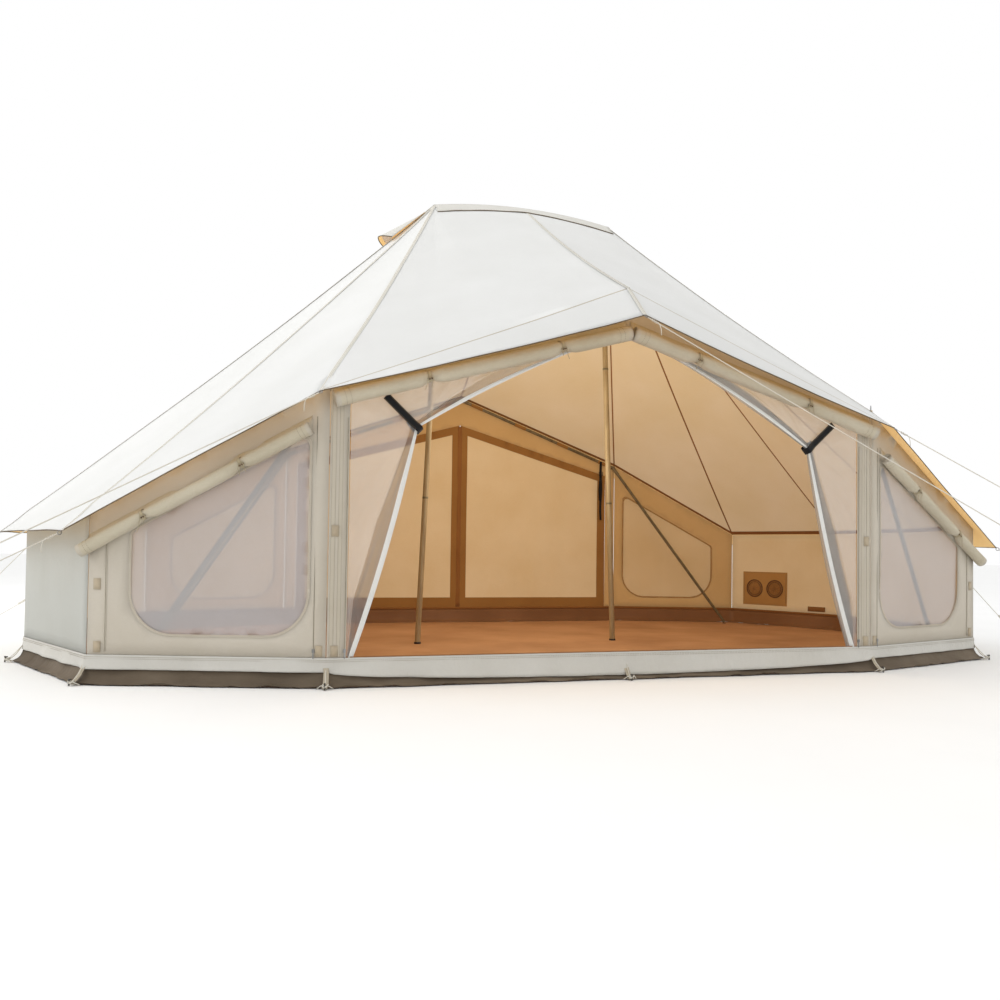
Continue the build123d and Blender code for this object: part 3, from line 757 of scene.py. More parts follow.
HOOD_START, HOOD_LENGTH, HOOD_WIDE, HOOD_RISE = 0.10, 0.43, 0.125, 0.072
for sx, side_name in ((1, "right"), (-1, "left")):
    tips = (eave_tip(sx, -1, "end") + eave_tip(sx, 1, "end")) * 0.5
    fall = (tips - apex(sx)).normalized()
    out = Vector((0, 1, 0)).cross(fall)
    if out.z < 0:
        out = -out
    rows, lips = [], []
    for j in range(15):
        k = j / 14
        along = lerp(HOOD_START, HOOD_LENGTH, k)
        wide = lerp(0.035, HOOD_WIDE, k)
        sag = SEAM_SAG * 4 * (along / 2.4) * 0.9
        row = []
        for i in range(17):
            v = -1 + 2 * i / 16
            high = HOOD_RISE * k * (1 - abs(v) ** 1.8) + 0.006 - sag * 0.5
            row.append(apex(sx) + fall * (along + 0.03 * k * (1 - v * v)) + Vector((0, v * wide, 0))
                       + out * high)
        rows.append(row)
    hood = Cloth()
    hood.grid(rows, out=out)
    # The hood's inside takes EAVE_LINING, whose golden colour and glow are painted light.
    piece = hood.finish(side_name + "_vent_hood", "canvas", [CAP_CANVAS, EAVE_LINING], ["vent_hoods"], CLOTH,
                        offset=-1)
    lip = Cloth()
    lip.tube(rows[-1], 0.0035, 6)
    lip.finish(side_name + "_vent_lip", "canvas", [PIPING])
    vent_net = Cloth()
    last = rows[-2]
    vent_net.grid([[p + (apex(sx) + fall * (HOOD_LENGTH - 0.03) + Vector((0, p.y, 0)) - p) * k
                    for p in last] for k in (0.0, 0.5, 0.97)], out=fall)
    piece = vent_net.finish(side_name + "_vent_net", "mesh_net", [WINDOW_NET])

# %% [markdown]
# The walls hang from the roof to the base band. A wall panel is a flat cut, set in its place by a
# function of the distance along the wall and the height. That function also gives the panel its slight
# bulge and the soft vertical folds that start under the roof and at the corners.

# %% Wall panels
WALL_GAP = 0.003
WALL_TOP_DROP = 0.0035


def wall_frame(a, b):
    """Foot of the wall's first corner, its direction along, its outward normal and its length."""
    start, stop = corner(*a, z=0), (corner(*b, z=0) if b != "peak" else peak(a[1]) - UP * PEAK_HEIGHT)
    along = (stop - start).normalized()
    out = Vector((along.y, -along.x, 0))
    if out.dot(start + stop) < 0:
        out = -out
    return start, along, out, (stop - start).length


def wall_top(a, b, distance):
    length = wall_frame(a, b)[3]
    first = PLAN[a[2]][2]
    last = PEAK_HEIGHT if b == "peak" else PLAN[b[2]][2]
    return lerp(first, last, distance / length) - WALL_TOP_DROP


def on_wall(a, b, lift=0.0, bulge=0.0, folds=0.0, seed=0.0, lean=0.0):
    """A function that sets a flat cut in the wall from a to b."""
    start, along, out, length = wall_frame(a, b)

    def place(u, v):
        top = wall_top(a, b, u)
        k = max(0.0, min(1.0, (v - BAND_TOP) / max(top - BAND_TOP, 0.01)))
        s = max(0.0, min(1.0, u / length))
        belly = bulge * 4 * s * (1 - s) * sin(pi * k)
        fold = folds * noise.noise(Vector((u * 9.0 + seed, v * 1.4, seed))) * sin(pi * k) ** 0.6
        fold += folds * 0.8 * noise.noise(Vector((u * 3.0, v * 3.0, seed + 5))) * sin(pi * k)
        return start + along * u + UP * v + out * (lift + belly + fold * min(1.0, 12 * s * (1 - s)))
    return place


def trapezoid(a, b, start, stop, bottom, drop=0.0, top=None):
    """A wall's outline between two distances along it."""
    tops = [wall_top(a, b, d) - drop for d in (start, stop)] if top is None else top
    return [(start, bottom), (stop, bottom), (stop, tops[1]), (start, tops[0])]


WINDOW_DOOR, WINDOW_LOW, WINDOW_SILL, WINDOW_DROP, WINDOW_ROUND = 0.09, 0.20, 0.23, 0.225, 0.20


def rounded(corners, radii, steps=9):
    """A closed outline with each corner rounded by its radius."""
    made = []
    count = len(corners)
    for i, radius in enumerate(radii):
        here, before, after = (Vector(corners[j % count]) for j in (i, i - 1, i + 1))
        to_before, to_after = (before - here).normalized(), (after - here).normalized()
        if radius <= 0:
            made.append(tuple(here))
            continue
        half = to_before.angle(to_after) / 2
        reach = radius / (sin(half) / cos(half))
        centre = here + (to_before + to_after).normalized() * (radius / sin(half))
        first, last = here + to_before * reach - centre, here + to_after * reach - centre
        turn = first.angle_signed(last)
        for k in range(steps + 1):
            angle = -turn * k / steps
            made.append((centre.x + first.x * cos(angle) - first.y * sin(angle),
                         centre.y + first.x * sin(angle) + first.y * cos(angle)))
    return made


def window_outline(a, b, grow=0.0):
    length = wall_frame(a, b)[3]
    first, last = WINDOW_DOOR - grow, length - WINDOW_LOW + grow
    corners = [(first, WINDOW_SILL - grow), (last, WINDOW_SILL - grow),
               (last, wall_top(a, b, last) - WINDOW_DROP + grow),
               (first, wall_top(a, b, first) - WINDOW_DROP + grow)]
    return dense(rounded(corners, (WINDOW_ROUND + grow, WINDOW_ROUND + grow, 0.03, 0.03)), 0.05)


for sx, sy in QUARTERS:
    end, side_name = ("front" if sy < 0 else "rear"), ("right" if sx > 0 else "left")
    a, b = (sx, sy, "door"), (sx, sy, "low")
    length = wall_frame(a, b)[3]
    outline = dense(trapezoid(a, b, WALL_GAP, length - WALL_GAP, BAND_TOP - 0.004), 0.05)
    hole = window_outline(a, b)
    place = on_wall(a, b, bulge=0.012, folds=0.007, seed=sx * 3.0 + sy)
    wall = Cloth()
    wall.cut(outline, [hole], place)
    piece = wall.finish(f"{end}_{side_name}_window_wall", "canvas",
                        [WALL, PANEL_LINING if sy < 0 else SHADED_LINING],
                        [f"{end}_window_panels"], CLOTH)
    net = Cloth()
    if sy < 0:
        net_place = on_wall(a, b, lift=-0.004, bulge=0.006, folds=0.010, seed=sx * 7.0)
        net.cut(dense(window_outline(a, b, 0.012), 0.05), [], net_place, step=0.05)
        net_piece = net.finish(f"{end}_{side_name}_window_net", "mesh_net", [WINDOW_NET], ["window_meshes"])
    else:
        net_place = on_wall(a, b, lift=-0.004, bulge=0.006, folds=0.008, seed=sx * 7.0)
        net.cut(dense(window_outline(a, b, 0.012), 0.05), [], net_place, step=0.06)
        net_piece = net.finish(f"{end}_{side_name}_window_net", "mesh_net", [REAR_NET], ["window_meshes"])
    binding = Cloth()
    for grow, lift in ((0.0, CLOTH + 0.0008), (0.0, -0.0016)):
        inner, outer = window_outline(a, b, grow - 0.003), window_outline(a, b, grow + 0.010)
        facing = wall_frame(a, b)[2] * (1 if lift > 0 else -1)
        inner, outer = even(inner, 120), even(outer, 120)
        binding.grid([[place(*p) + wall_frame(a, b)[2] * lift for p in ring_of + ring_of[:1]]
                      for ring_of in (inner, outer)], out=facing)
        if lift > 0:
            for k in (0.30, 0.78):
                seam_lines.append([place(lerp(p[0], q[0], k), lerp(p[1], q[1], k))
                                   + wall_frame(a, b)[2] * (lift + 0.0004) for p, q in zip(inner, outer)])
    binding_piece = binding.finish(f"{end}_{side_name}_window_binding", "canvas",
                                   [WALL if sy < 0 else STRIP_LINING])

# %% [markdown]
# Both end walls are plain: three panels in one run of cloth, from one low corner round to the other. The
# panels are welded at their corners, so the cloth turns there instead of breaking.

# %% End walls
for sx, side_name in ((1, "right"), (-1, "left")):
    wall = Cloth()
    corners = [(sx, -1, "low"), (sx, -1, "end"), (sx, 1, "end"), (sx, 1, "low")]
    for a, b in zip(corners, corners[1:]):
        length = wall_frame(a, b)[3]
        outline = dense(trapezoid(a, b, 0.0, length, BAND_TOP - 0.004), 0.05)
        wall.cut(outline, [], on_wall(a, b, bulge=0.008, folds=0.006, seed=sx * 2.0 + a[1]))
    piece = wall.finish(side_name + "_end_wall", "canvas", [END_WALL, PANEL_LINING], ["end_walls"], CLOTH)

# %% [markdown]
# The cloth beside and above each doorway stays up when the door is open: a strip at each corner that
# carries the zip, and a header under the roof. The rear door is closed. Its two halves meet at a zip.

# %% Door surrounds and the rear door
# The flat areas are those of the part's own flat panels, in square metres.
DOOR_STRIP = 0.09


def header_at(distance, drop=None):
    deep = lerp(0.120, 0.245, distance / PLAN["door"][0]) if drop is None else drop
    return wall_top((1, 1, "door"), "peak", distance) - deep


surround_outline = [(0.0, BAND_TOP - 0.004), (DOOR_STRIP, BAND_TOP - 0.004),
                    (DOOR_STRIP, header_at(DOOR_STRIP)),
                    (1.5, header_at(1.5)), (1.5, header_at(1.5, 0)), (0.0, header_at(0.0, 0))]
leaf_outline = [(DOOR_STRIP + 0.002, BAND_TOP - 0.004), (1.4965, BAND_TOP - 0.004),
                (1.4965, header_at(1.4965)),
                (DOOR_STRIP + 0.002, header_at(DOOR_STRIP))]
leaf_inset = [(0.17, 0.22), (1.43, 0.22), (1.43, header_at(1.43) - 0.07), (0.17, header_at(0.17) - 0.07)]
for sy, end in ((-1, "front"), (1, "rear")):
    surround = Cloth()
    for sx in (1, -1):
        surround.cut(dense(surround_outline, 0.04), [], on_wall((sx, sy, "door"), "peak", folds=0.003,
                                                               seed=sx + sy * 4.0), step=0.04)
    piece = surround.finish(end + "_door_surround_cloth", "canvas",
                            [WALL, PANEL_LINING if sy < 0 else SHADED_LINING], [end + "_door_surround"], CLOTH)
    trims = Cloth()
    for sx in (1, -1):
        for run, lift in (((0.010, 0.028), CLOTH + 0.0009), ((0.044, 0.060), CLOTH + 0.0009)):
            place = on_wall((sx, sy, "door"), "peak", folds=0.003, seed=sx + sy * 4.0)
            rows = [[place(u, v) + Vector((0, sy, 0)) * lift for u in run]
                    for v in [lerp(0.14, 1.44, k / 30) for k in range(31)]]
            trims.grid(rows, out=Vector((0, sy, 0)))
            for u in run:
                seam_lines.append([place(u, v) + Vector((0, sy, 0)) * (lift + 0.0003)
                                   for v in [lerp(0.14, 1.44, k / 30) for k in range(31)]])
    trims.finish(end + "_door_corner_tape", "canvas", [TAPE])
for sx, side_name in ((1, "right"), (-1, "left")):
    place = on_wall((sx, 1, "door"), "peak", bulge=0.008, folds=0.008, seed=sx * 5.0)
    leaf = Cloth()
    leaf.cut(dense(leaf_outline, 0.05), [], place)
    piece = leaf.finish(side_name + "_rear_door_leaf", "canvas", [WALL, PANEL_LINING], ["rear_door_panels"],
                        CLOTH)
    # The border's dark STRIP_LINING is painted shade, for doubled cloth that lets less daylight through.
    border = Cloth()
    inner_place = on_wall((sx, 1, "door"), "peak", lift=-0.0025, bulge=0.008, folds=0.008, seed=sx * 5.0)
    border.cut(dense(leaf_outline, 0.05), [dense(leaf_inset, 0.05)], inner_place, out=Vector((0, -1, 0)))
    border_piece = border.finish(side_name + "_rear_door_border", "canvas", [STRIP_LINING])

# %% [markdown]
# The window covers at the back are down. Each is a panel of canvas a little larger than its window, held
# round its edge. From inside it shows through the net, lighter than the doubled cloth round it; the two
# lining colours are painted light and shade, for the daylight each lets through.

# %% Rear window covers
COVER_AREA = 0.692
for sx, side_name in ((1, "right"), (-1, "left")):
    a, b = (sx, 1, "door"), (sx, 1, "low")
    cover = Cloth()
    cover.cut(window_outline(a, b, 0.045), [], on_wall(a, b, lift=CLOTH + 0.005, bulge=0.012, folds=0.007,
                                                      seed=sx * 3.0 + 1), step=0.02)
    piece = cover.finish(side_name + "_rear_window_cover", "canvas", [WALL, PANEL_LINING],
                         ["rear_window_covers"], CLOTH)

# %% [markdown]
# The foot of the walls. A coated band runs round the tent and kicks out a little, because the ground keeps
# it from hanging straight. Under it the mud skirt spreads on the grass. At each doorway the band is the
# sill, so it is deeper there and bows out. Offsets at a corner follow the line between its two walls.

# %% Base band, sill and mud skirt
sides = list(zip(AROUND, AROUND[1:] + AROUND[:1]))


def side_out(a, b):
    start, stop = corner(*a, z=0), corner(*b, z=0)
    along = (stop - start).normalized()
    out = Vector((along.y, -along.x, 0))
    return start, stop, along, (out if out.dot(start + stop) > 0 else -out)


def corner_out(here):
    outs = [side_out(a, b)[3] for a, b in sides if here in (a, b)]
    both = (outs[0] + outs[1]).normalized()
    return both / both.dot(outs[0])


def foot_point(a, b, s, out_by, z):
    """A point over the foot of the wall a-b, out_by outside it; corners stay joined."""
    start, stop, along, out = side_out(a, b)
    length = (stop - start).length
    reach = 0.18
    first, last = max(0.0, 1 - s * length / reach), max(0.0, 1 - (1 - s) * length / reach)
    way = lerp(lerp(out, corner_out(a), first), corner_out(b), last)
    return lerp(start, stop, s) + way * out_by + UP * z


def around_foot(cloth, profile, facing_out=True, step=0.035, **kwargs):
    """Sweep a profile round the tent; profile(a, b, s, here) gives (out, z) pairs."""
    for a, b in sides:
        start, stop, along, out = side_out(a, b)
        count = max(4, round((stop - start).length / step))
        columns = []
        for i in range(count + 1):
            s = i / count
            here = lerp(start, stop, s)
            columns.append([foot_point(a, b, s, *pair) for pair in profile(a, b, s, here)])
        rows = [list(row) for row in zip(*columns)]
        cloth.grid(rows, out=out + UP * 0.3 if facing_out else -out + UP * 0.3, **kwargs)


def door_side(a, b):
    return a[2] == "door" and b[2] == "door"


def band_profile(a, b, s, here):
    wave = noise.noise(here * 5.0) * 0.013 + noise.noise(here * 14.0) * 0.006
    sill = sin(pi * s) ** 0.5 if door_side(a, b) else 0.0
    foot = lerp(BAND_FOOT, 0.022, sill)
    kick = 0.016 + 0.022 * sill + wave
    return [(0.0035, 0.134), (0.0045, 0.126), (0.006 + 0.3 * wave, lerp(0.112, 0.104, sill)),
            (lerp(0.006, kick, 0.5), lerp(0.104, foot, 0.45)), (kick * 0.9, lerp(0.104, foot, 0.8)),
            (kick, foot)]


band = Cloth()
around_foot(band, band_profile)
piece = band.finish("base_band_cloth", "base_canvas", [BAND, UPSTAND], ["base_band"], 0.0018)
for a, b in sides:
    for out_by, z in ((0.0072, 0.124), (0.0078, 0.116)):
        line = [foot_point(a, b, i / 40, out_by, z) for i in range(41)]
        seam_lines.append(line)


def skirt_profile(a, b, s, here):
    wave = noise.noise(here * 4.0 + Vector((3, 0, 0)))
    fine = noise.noise(here * 13.0)
    spread = 0.052 + 0.018 * wave
    return [(0.003, 0.075), (0.006, 0.055 + 0.004 * fine), (0.016 + 0.006 * wave, 0.032 + 0.004 * fine),
            (0.034 + 0.006 * fine, 0.014 + 0.006 * max(0, wave)),
            (0.052 + 0.008 * wave, 0.006 + 0.004 * abs(fine)),
            (spread, 0.0035 + 0.018 * max(0.0, fine))]


skirt = Cloth()
around_foot(skirt, skirt_profile)
piece = skirt.finish("mud_skirt_cloth", "skirt_sheet", [SKIRT], ["mud_skirt"], 0.0012, lined=False)

# %% [markdown]
# The floor is a heavy coated sheet, turned up inside the walls like a tray. It lies nearly flat, with
# shallow wrinkles that are deepest where it turns up. Under the poles it is pressed flat.

# %% Groundsheet and upstand
feet_places = [(POLE_TOP + 0.07, 0.0), (-POLE_TOP - 0.07, 0.0)]
feet_places += [(sx * 2.4, sy * 1.27) for sx, sy in QUARTERS]


def floor_height(x, y):
    calm = min(1.0, min(hypot(x - fx, y - fy) for fx, fy in feet_places) / 0.25)
    spot = Vector((x, y, 0))
    long_fold = abs(noise.noise(Vector((x * 1.1, y * 4.0, 1)))) * 0.010
    edge = max(0.0, max(abs(x) / 3.0, abs(y) / 1.75) - 0.75) * 0.03
    small = abs(noise.noise(spot * 7.0)) * edge
    return 0.0042 + calm * (0.010 * max(0.0, 0.35 - long_fold * 60) * 0.5 + small)


plan = [tuple(corner(*c, z=0).xy * 0.9985) for c in AROUND]
floor = Cloth()
floor.cut(dense(plan, 0.09), [], lambda u, v: Vector((u, v, floor_height(u, v))), step=0.075, out=UP)
floor_piece = floor.finish("groundsheet_cloth", "floor_sheet", [FLOOR_SHEET], ["groundsheet"], 0.002,
                           offset=-1,
                           lined=False)


def upstand_profile(a, b, s, here):
    wave = noise.noise(here * 5.0 + Vector((0, 7, 0)))
    fine = noise.noise(here * 16.0)
    lean = 0.008 + 0.010 * abs(wave)
    return [(-0.045 - 0.012 * wave, 0.0075 + 0.004 * abs(fine)), (-0.024 - lean * 0.4, 0.016 + 0.004 * fine),
            (-0.012 - lean * 0.6, 0.040), (-0.006 - lean * 0.5, 0.070), (-0.005 - lean * 0.2, 0.095),
            (-0.0035, 0.118)]


upstand = Cloth()
around_foot(upstand, upstand_profile, facing_out=False)
piece = upstand.finish("upstand_cloth", "floor_sheet", [UPSTAND], ["floor_upstand"], 0.0015, lined=False)

# %% [markdown]
# The open door and window covers are rolled up and tied under the eave. A roll is a long spiral of cloth:
# it leaves the wall's top edge, goes down the back and winds inwards. The ties pinch it, its own weight
# makes it sag a little between them, and its ends have a sewn binding.

# %% Rolled covers
TURN_POINTS = 18


def spiral_section(radius, core, pitch):
    """Angle and radius of each point from the back of the roll inwards."""
    turns = (radius - core) / pitch
    count = int(turns * TURN_POINTS)
    return [(pi + 2 * pi * i / TURN_POINTS, radius - pitch * i / TURN_POINTS) for i in range(count + 1)]


def squeeze(s, length, ties, depth):
    """How far a tie pinches the roll at s, from 0 to 1 along it."""
    return 1 - sum(depth * 2.718 ** -(((s - t) * length / 0.035) ** 2) for t in ties)


roll_places = {}
for sx, side_name in ((1, "right"), (-1, "left")):
    door_axis = (Vector((sx * 1.480, -1.7896, 1.3311)), Vector((sx * 0.020, -1.7896, 1.7565)))
    window_axis = (Vector((sx * 1.5981, -1.7512, 1.1922)), Vector((sx * 2.5914, -1.4326, 0.6197)))
    roll_places[side_name + "_door"] = (door_axis, 0.0405, 0.0041, (sx, -1, "door"), "peak",
                                        (0.30, 0.76), 1.38)
    roll_places[side_name + "_window"] = (window_axis, 0.0335, 0.0050, (sx, -1, "door"), (sx, -1, "low"),
                                          (0.30, 0.72), 0.70)
roll_shapes = {}
for roll_name, (axis, radius, pitch, a, b, ties, cloth_length) in roll_places.items():
    start, stop = axis
    run = stop - start
    length = run.length
    line = run.normalized()
    out = wall_frame(a, b)[2]
    e1 = (out - line * out.dot(line)).normalized()
    e2 = line.cross(e1)
    if e2.z < 0:
        e2 = -e2
    section = spiral_section(radius, 0.006, pitch)
    first, along, _, wall_length = wall_frame(a, b)
    seed = sum(start) * 3.0
    columns = 64
    rows = []
    centres, sizes = [], []
    for i in range(columns + 1):
        s = -0.006 + 1.012 * i / columns
        spot = start + run * s
        pinch = squeeze(s, length, ties, 0.36)
        between = 1 - 0.5 * sum(2.718 ** -(((s - t) * length / 0.16) ** 2) for t in ties)
        wobble = Vector((0, 0, 1)) * (-0.004 * between + 0.003 * noise.noise(Vector((s * 5 + seed, 1, 0))))
        centre = spot + wobble + e2 * radius * (1 - pinch) * 0.5
        fat = pinch * (0.985 + 0.05 * noise.noise(Vector((s * 7 + seed, 4, 0))))
        centres.append(centre)
        sizes.append(fat * radius)
        d = (spot - first).dot(along)
        attach = Vector((first.x, first.y, 0)) + along * min(wall_length, d) + UP * (spot.z + radius * 1.7)
        attach += out * (0.0045 + 0.35 * max(0.0, d - wall_length))
        row = [attach, lerp(attach, centre - e1 * radius * fat, 0.55) + out * 0.002]
        for angle, r in section:
            crease = 0.06 * (1 - pinch * 0.6) * sin(angle * 9 + seed)
            soft = 0.065 * noise.noise(Vector((s * length * 9 + cos(angle), sin(angle) * 1.5, seed)))
            long_fold = 0.05 * noise.noise(Vector((s * length * 2.2, angle * 0.9, seed + 9)))
            size = r * fat * (1 + crease + soft + long_fold)
            row.append(centre + e1 * cos(angle) * size * 1.03 + e2 * sin(angle) * size * 0.96)
        rows.append(row)
    roll_shapes[roll_name] = (centres, sizes, e1, e2, line, ties)
    for index in (2, 3, 61, 62):
        seam_lines.append([p + (p - centres[index]).normalized() * 0.0012
                           for p in rows[index][2:2 + TURN_POINTS]])
    roll = Cloth()
    wide = len(rows[0])
    edge_columns = max(1, round(0.022 / length * columns))
    roll.grid(rows, side=lambda face, wide=wide, n=edge_columns: 1 if min(face) // wide < n
              or min(face) // wide >= 64 - n else 0, out=UP)
    piece = roll.finish(roll_name + "_roll", "roll_canvas", [ROLLED, TAPE],
                        ["door_rolls" if "door" in roll_name else "window_rolls"], 0.0016, offset=0,
                        lined=False)
    flat_area = sum(sum((q - p).length for p, q in zip(r, r[1:])) for r in rows) / len(rows) * length
    2.06 if "door" in roll_name else COVER_AREA
    print(roll_name, "cloth in the roll", round(flat_area, 2), "square metres")

# %% [markdown]
# Each tie is a flat tape round the pinched roll, closed in front with a small toggle on a cord loop.
# The loop and its tails hang a little, so that no two look pressed on.

# %% Roll ties
TIE = woven("tie_tape", rgb(186, 174, 146), rgb(168, 156, 128), weave=800.0, crease=0.1)
TOGGLE = metal("toggle_wood", rgb(96, 72, 48), rgb(70, 50, 32), 0.5, 0.0)
ties_cloth, toggles = Cloth(), Cloth()
for roll_name, (centres, sizes, e1, e2, line, ties) in roll_shapes.items():
    for number, tie in enumerate(ties):
        index = round((tie + 0.006) / 1.012 * 64)
        centre, size = centres[index], sizes[index] * 1.08 + 0.0015
        rows = []
        for shift in (-0.008, -0.004, 0.004, 0.008):
            rows.append([centre + line * (shift + 0.003 * sin(3 * angle)) + (e1 * cos(angle) * 1.03
                                                                          + e2 * sin(angle) * 0.96)
                         * (size - 0.0008 * (abs(shift) > 0.005))
                         for angle in [2 * pi * k / 28 for k in range(29)]])
        ties_cloth.grid(rows, inside=centre)
        front = centre + (e1 * 0.86 - e2 * 0.5) * (size + 0.004)
        lean = line * (0.006 if number else -0.005)
        toggles.tube([front - line * 0.015 + e2 * 0.002, front - line * 0.009, front, front + line * 0.009,
                      front + line * 0.015 - e2 * 0.001], [0.002, 0.0042, 0.0046, 0.0042, 0.002], 8)
        for way in (-1, 1):
            drop = 0.045 + 0.012 * number * way
            tail = [front, front + line * way * 0.010 + e1 * 0.006 + e2 * 0.004,
                    front + line * way * 0.016 - UP * 0.012 + e1 * 0.004,
                    front + line * way * 0.013 + lean - UP * drop * 0.6 + e1 * 0.001,
                    front + line * way * 0.017 + lean * 2 - UP * drop]
            toggles.tube(tail, 0.0016, 5, side=1)
            loop_points = [front + line * (way * 0.012 * (1 - cos(t)) * 0.5) + e2 * 0.012 * sin(t)
                           + e1 * 0.003 for t in [2 * pi * k / 10 for k in range(10)]]
            toggles.tube(loop_points, 0.0016, 5, side=1, closed=True)
ties_cloth.finish("roll_tie_tapes", "beige_webbing", [TIE], ["roll_ties"], 0.0012, lined=False)
toggles.finish("roll_tie_toggles", "beige_webbing", [TOGGLE, TIE])

# %% [markdown]
# The net doors are held open. Each is fixed at the corner strip and under the header, and a strap pulls
# the middle of its free edge to the corner, so the net runs smooth from its fixed edges and gathers in
# pleats along the free one. Rows of points go from a fixed edge to the free edge, and the last part of
# each row folds back and forth.

# %% Net doors
STRAP_POINT = Vector((1.09, -1.735, 1.222))
PLEATS = 11


def bow(a, b, sag, t, direction):
    return lerp(a, b, t) + direction * (sag * 4 * t * (1 - t))


for sx, side_name in ((1, "right"), (-1, "left")):
    def mirror(x, y, z):
        return Vector((sx * x, y, z))

    strap = mirror(*STRAP_POINT)
    foot_fixed, foot_free = mirror(1.408, -1.737, 0.125), mirror(1.383, -1.725, 0.120)
    corner_fixed = mirror(1.405, -1.737, 1.355)
    under_roll = mirror(0.27, -1.735, 1.664)
    top_fixed, top_free = mirror(0.035, -1.737, 1.752), mirror(0.030, -1.735, 1.738)
    rows, hems = [], []
    lower, upper = 46, 46
    for j in range(lower + upper + 1):
        if j <= lower:
            t = j / lower
            fixed = lerp(foot_fixed, corner_fixed, t)
            free = bow(foot_free, strap, -0.020, t, mirror(1, 0, 0.25))
            deep = lerp(0.060, 0.026, t)
        else:
            t = (j - lower) / upper
            fixed = lerp(corner_fixed, top_fixed, t)
            free = bow(strap, under_roll, 0.018, t / 0.8, mirror(0.28, 0, 0.95)) if t < 0.8 \
                else lerp(under_roll, top_free, (t - 0.8) / 0.2)
            deep = 0.026 + 0.020 * sin(pi * t) - 0.010 * t
        gap = fixed - free
        gathered = min(0.085, gap.length * 0.75) * (0.35 + 0.65 * min(1.0, (free - strap).length / 0.5))
        start_pleats = free + gap.normalized() * gathered
        row = []
        for i in range(15):
            k = i / 14
            point = lerp(fixed, start_pleats, k)
            away = point - strap
            angle = atan2(away.z, sx * away.x)
            fan = sin(angle * 34) * 0.0045 + sin(angle * 13 + 1) * 0.006
            row.append(point + Vector((0, 1, 0)) * (fan * min(1, away.length / 0.25) * sin(pi * k * 0.9)
                                                   + 0.012 * sin(pi * k)))
        for i in range(1, PLEATS * 2 + 1):
            k = i / (PLEATS * 2)
            point = lerp(start_pleats, free, k)
            fold = deep * (0.75 + 0.35 * noise.noise(Vector((i * 1.7, j * 0.07, sx)))) if i % 2 else 0.004
            drift = 0.006 * noise.noise(Vector((i * 2.1, j * 0.05, 4)))
            row.append(point + Vector((0, 1, 0)) * fold + gap.normalized() * drift)
        row[-1] = free
        rows.append(row)
        hems.append((free, gap.normalized()))
    net = Cloth()
    net.grid(rows, out=Vector((0, -1, 0)))
    piece = net.finish(side_name + "_net_door", "mesh_net", [DOOR_NET], ["mesh_doors"])
    hem = Cloth()
    hem_rows = []
    for j, (free, back) in enumerate(hems):
        close = min(1.0, (free - strap).length / 0.30)
        wide = lerp(0.010, 0.022, close)
        ruck = 0.004 * noise.noise(Vector((j * 0.35, sx, 0)))
        hem_rows.append([free - back * 0.003 + Vector((0, -0.0025, 0)),
                         free + back * wide * 0.35 + Vector((0, -0.005 + ruck, 0)),
                         free + back * wide * 0.7 + Vector((0, -0.003 - ruck, 0)),
                         free + back * wide + Vector((0, -0.001, 0))])
    hem.grid(hem_rows, out=Vector((0, -1, 0)))
    hem_piece = hem.finish(side_name + "_net_hem", "mesh_net", [NET_HEM])

# %% [markdown]
# The strap that holds each net door back is black webbing with a hook-and-loop end. It goes round the
# gathered net and up to the corner strip.

# %% Tiebacks
STRAP_WIDE = 0.036
for sx, side_name in ((1, "right"), (-1, "left")):
    strap_piece = Cloth()
    start = Vector((sx * 1.082, -1.743, 1.212))
    stop = Vector((sx * 1.245, -1.7445, 1.362))
    run = (stop - start).normalized()
    wide = Vector((0, -1, 0)).cross(run)
    wide.normalize()
    loop = []
    for k in range(25):
        t = k / 24
        push = 0.0 if t > 0.2 else 0.010 * cos(pi * t / 0.4)
        loop.append(lerp(start, stop, t) + Vector((0, -push - 0.002, 0)))
    back = [lerp(start, stop, 0.30 * k / 8)
            + Vector((0, 0.030 * sin(pi / 2 * (1 - k / 8)) + 0.020, 0)) for k in
            range(9)]
    back[0] = start + Vector((0, 0.020, 0)) - run * 0.012
    path = back[::-1] + loop
    strap_piece.grid([[p - wide * STRAP_WIDE / 2, p - wide * STRAP_WIDE * 0.42, p + wide * STRAP_WIDE * 0.42,
                       p + wide * STRAP_WIDE / 2] for p in path], out=Vector((0, -1, 0)))
    strap_piece.finish(side_name + "_tieback", "black_webbing", [BLACK_WEBBING], ["tieback_straps"], 0.0018,
                       lined=False)
    for k in (-0.38, 0.38):
        seam_lines.append([p + wide * STRAP_WIDE * k - Vector((0, 0.0022, 0)) for p in loop[2:-1]])

# %% [markdown]
# Inside, every roof seam is bound with a dark tape, and the tapes draw the roof's shape. They are the same
# strips as outside, laid just under the cloth. A tape also covers the join of roof and wall.

# %% Seam tapes inside
# The tape's faint glow is painted light: daylight through the cloth.
DARK_TAPE = woven("dark_seam_tape", rgb(150, 104, 60), rgb(132, 88, 48), glow=0.03, crease=0.1)
inner_seams = Cloth()


def inner_band(line, wide=0.013, lift=0.002):
    rows = []
    for i, point in enumerate(line):
        run = (line[min(i + 1, len(line) - 1)] - line[max(i - 1, 0)]).normalized()
        side = Vector((run.y, -run.x, 0)).normalized() if hypot(run.x, run.y) > 0.05 else Vector((1, 0, 0))
        normal = run.cross(side)
        normal = normal if normal.z < 0 else -normal
        rows.append([point + normal * lift + side * (wide * k) for k in (-0.5, 0.5)])
    inner_seams.grid(rows, out=Vector((0, 0, -1)))


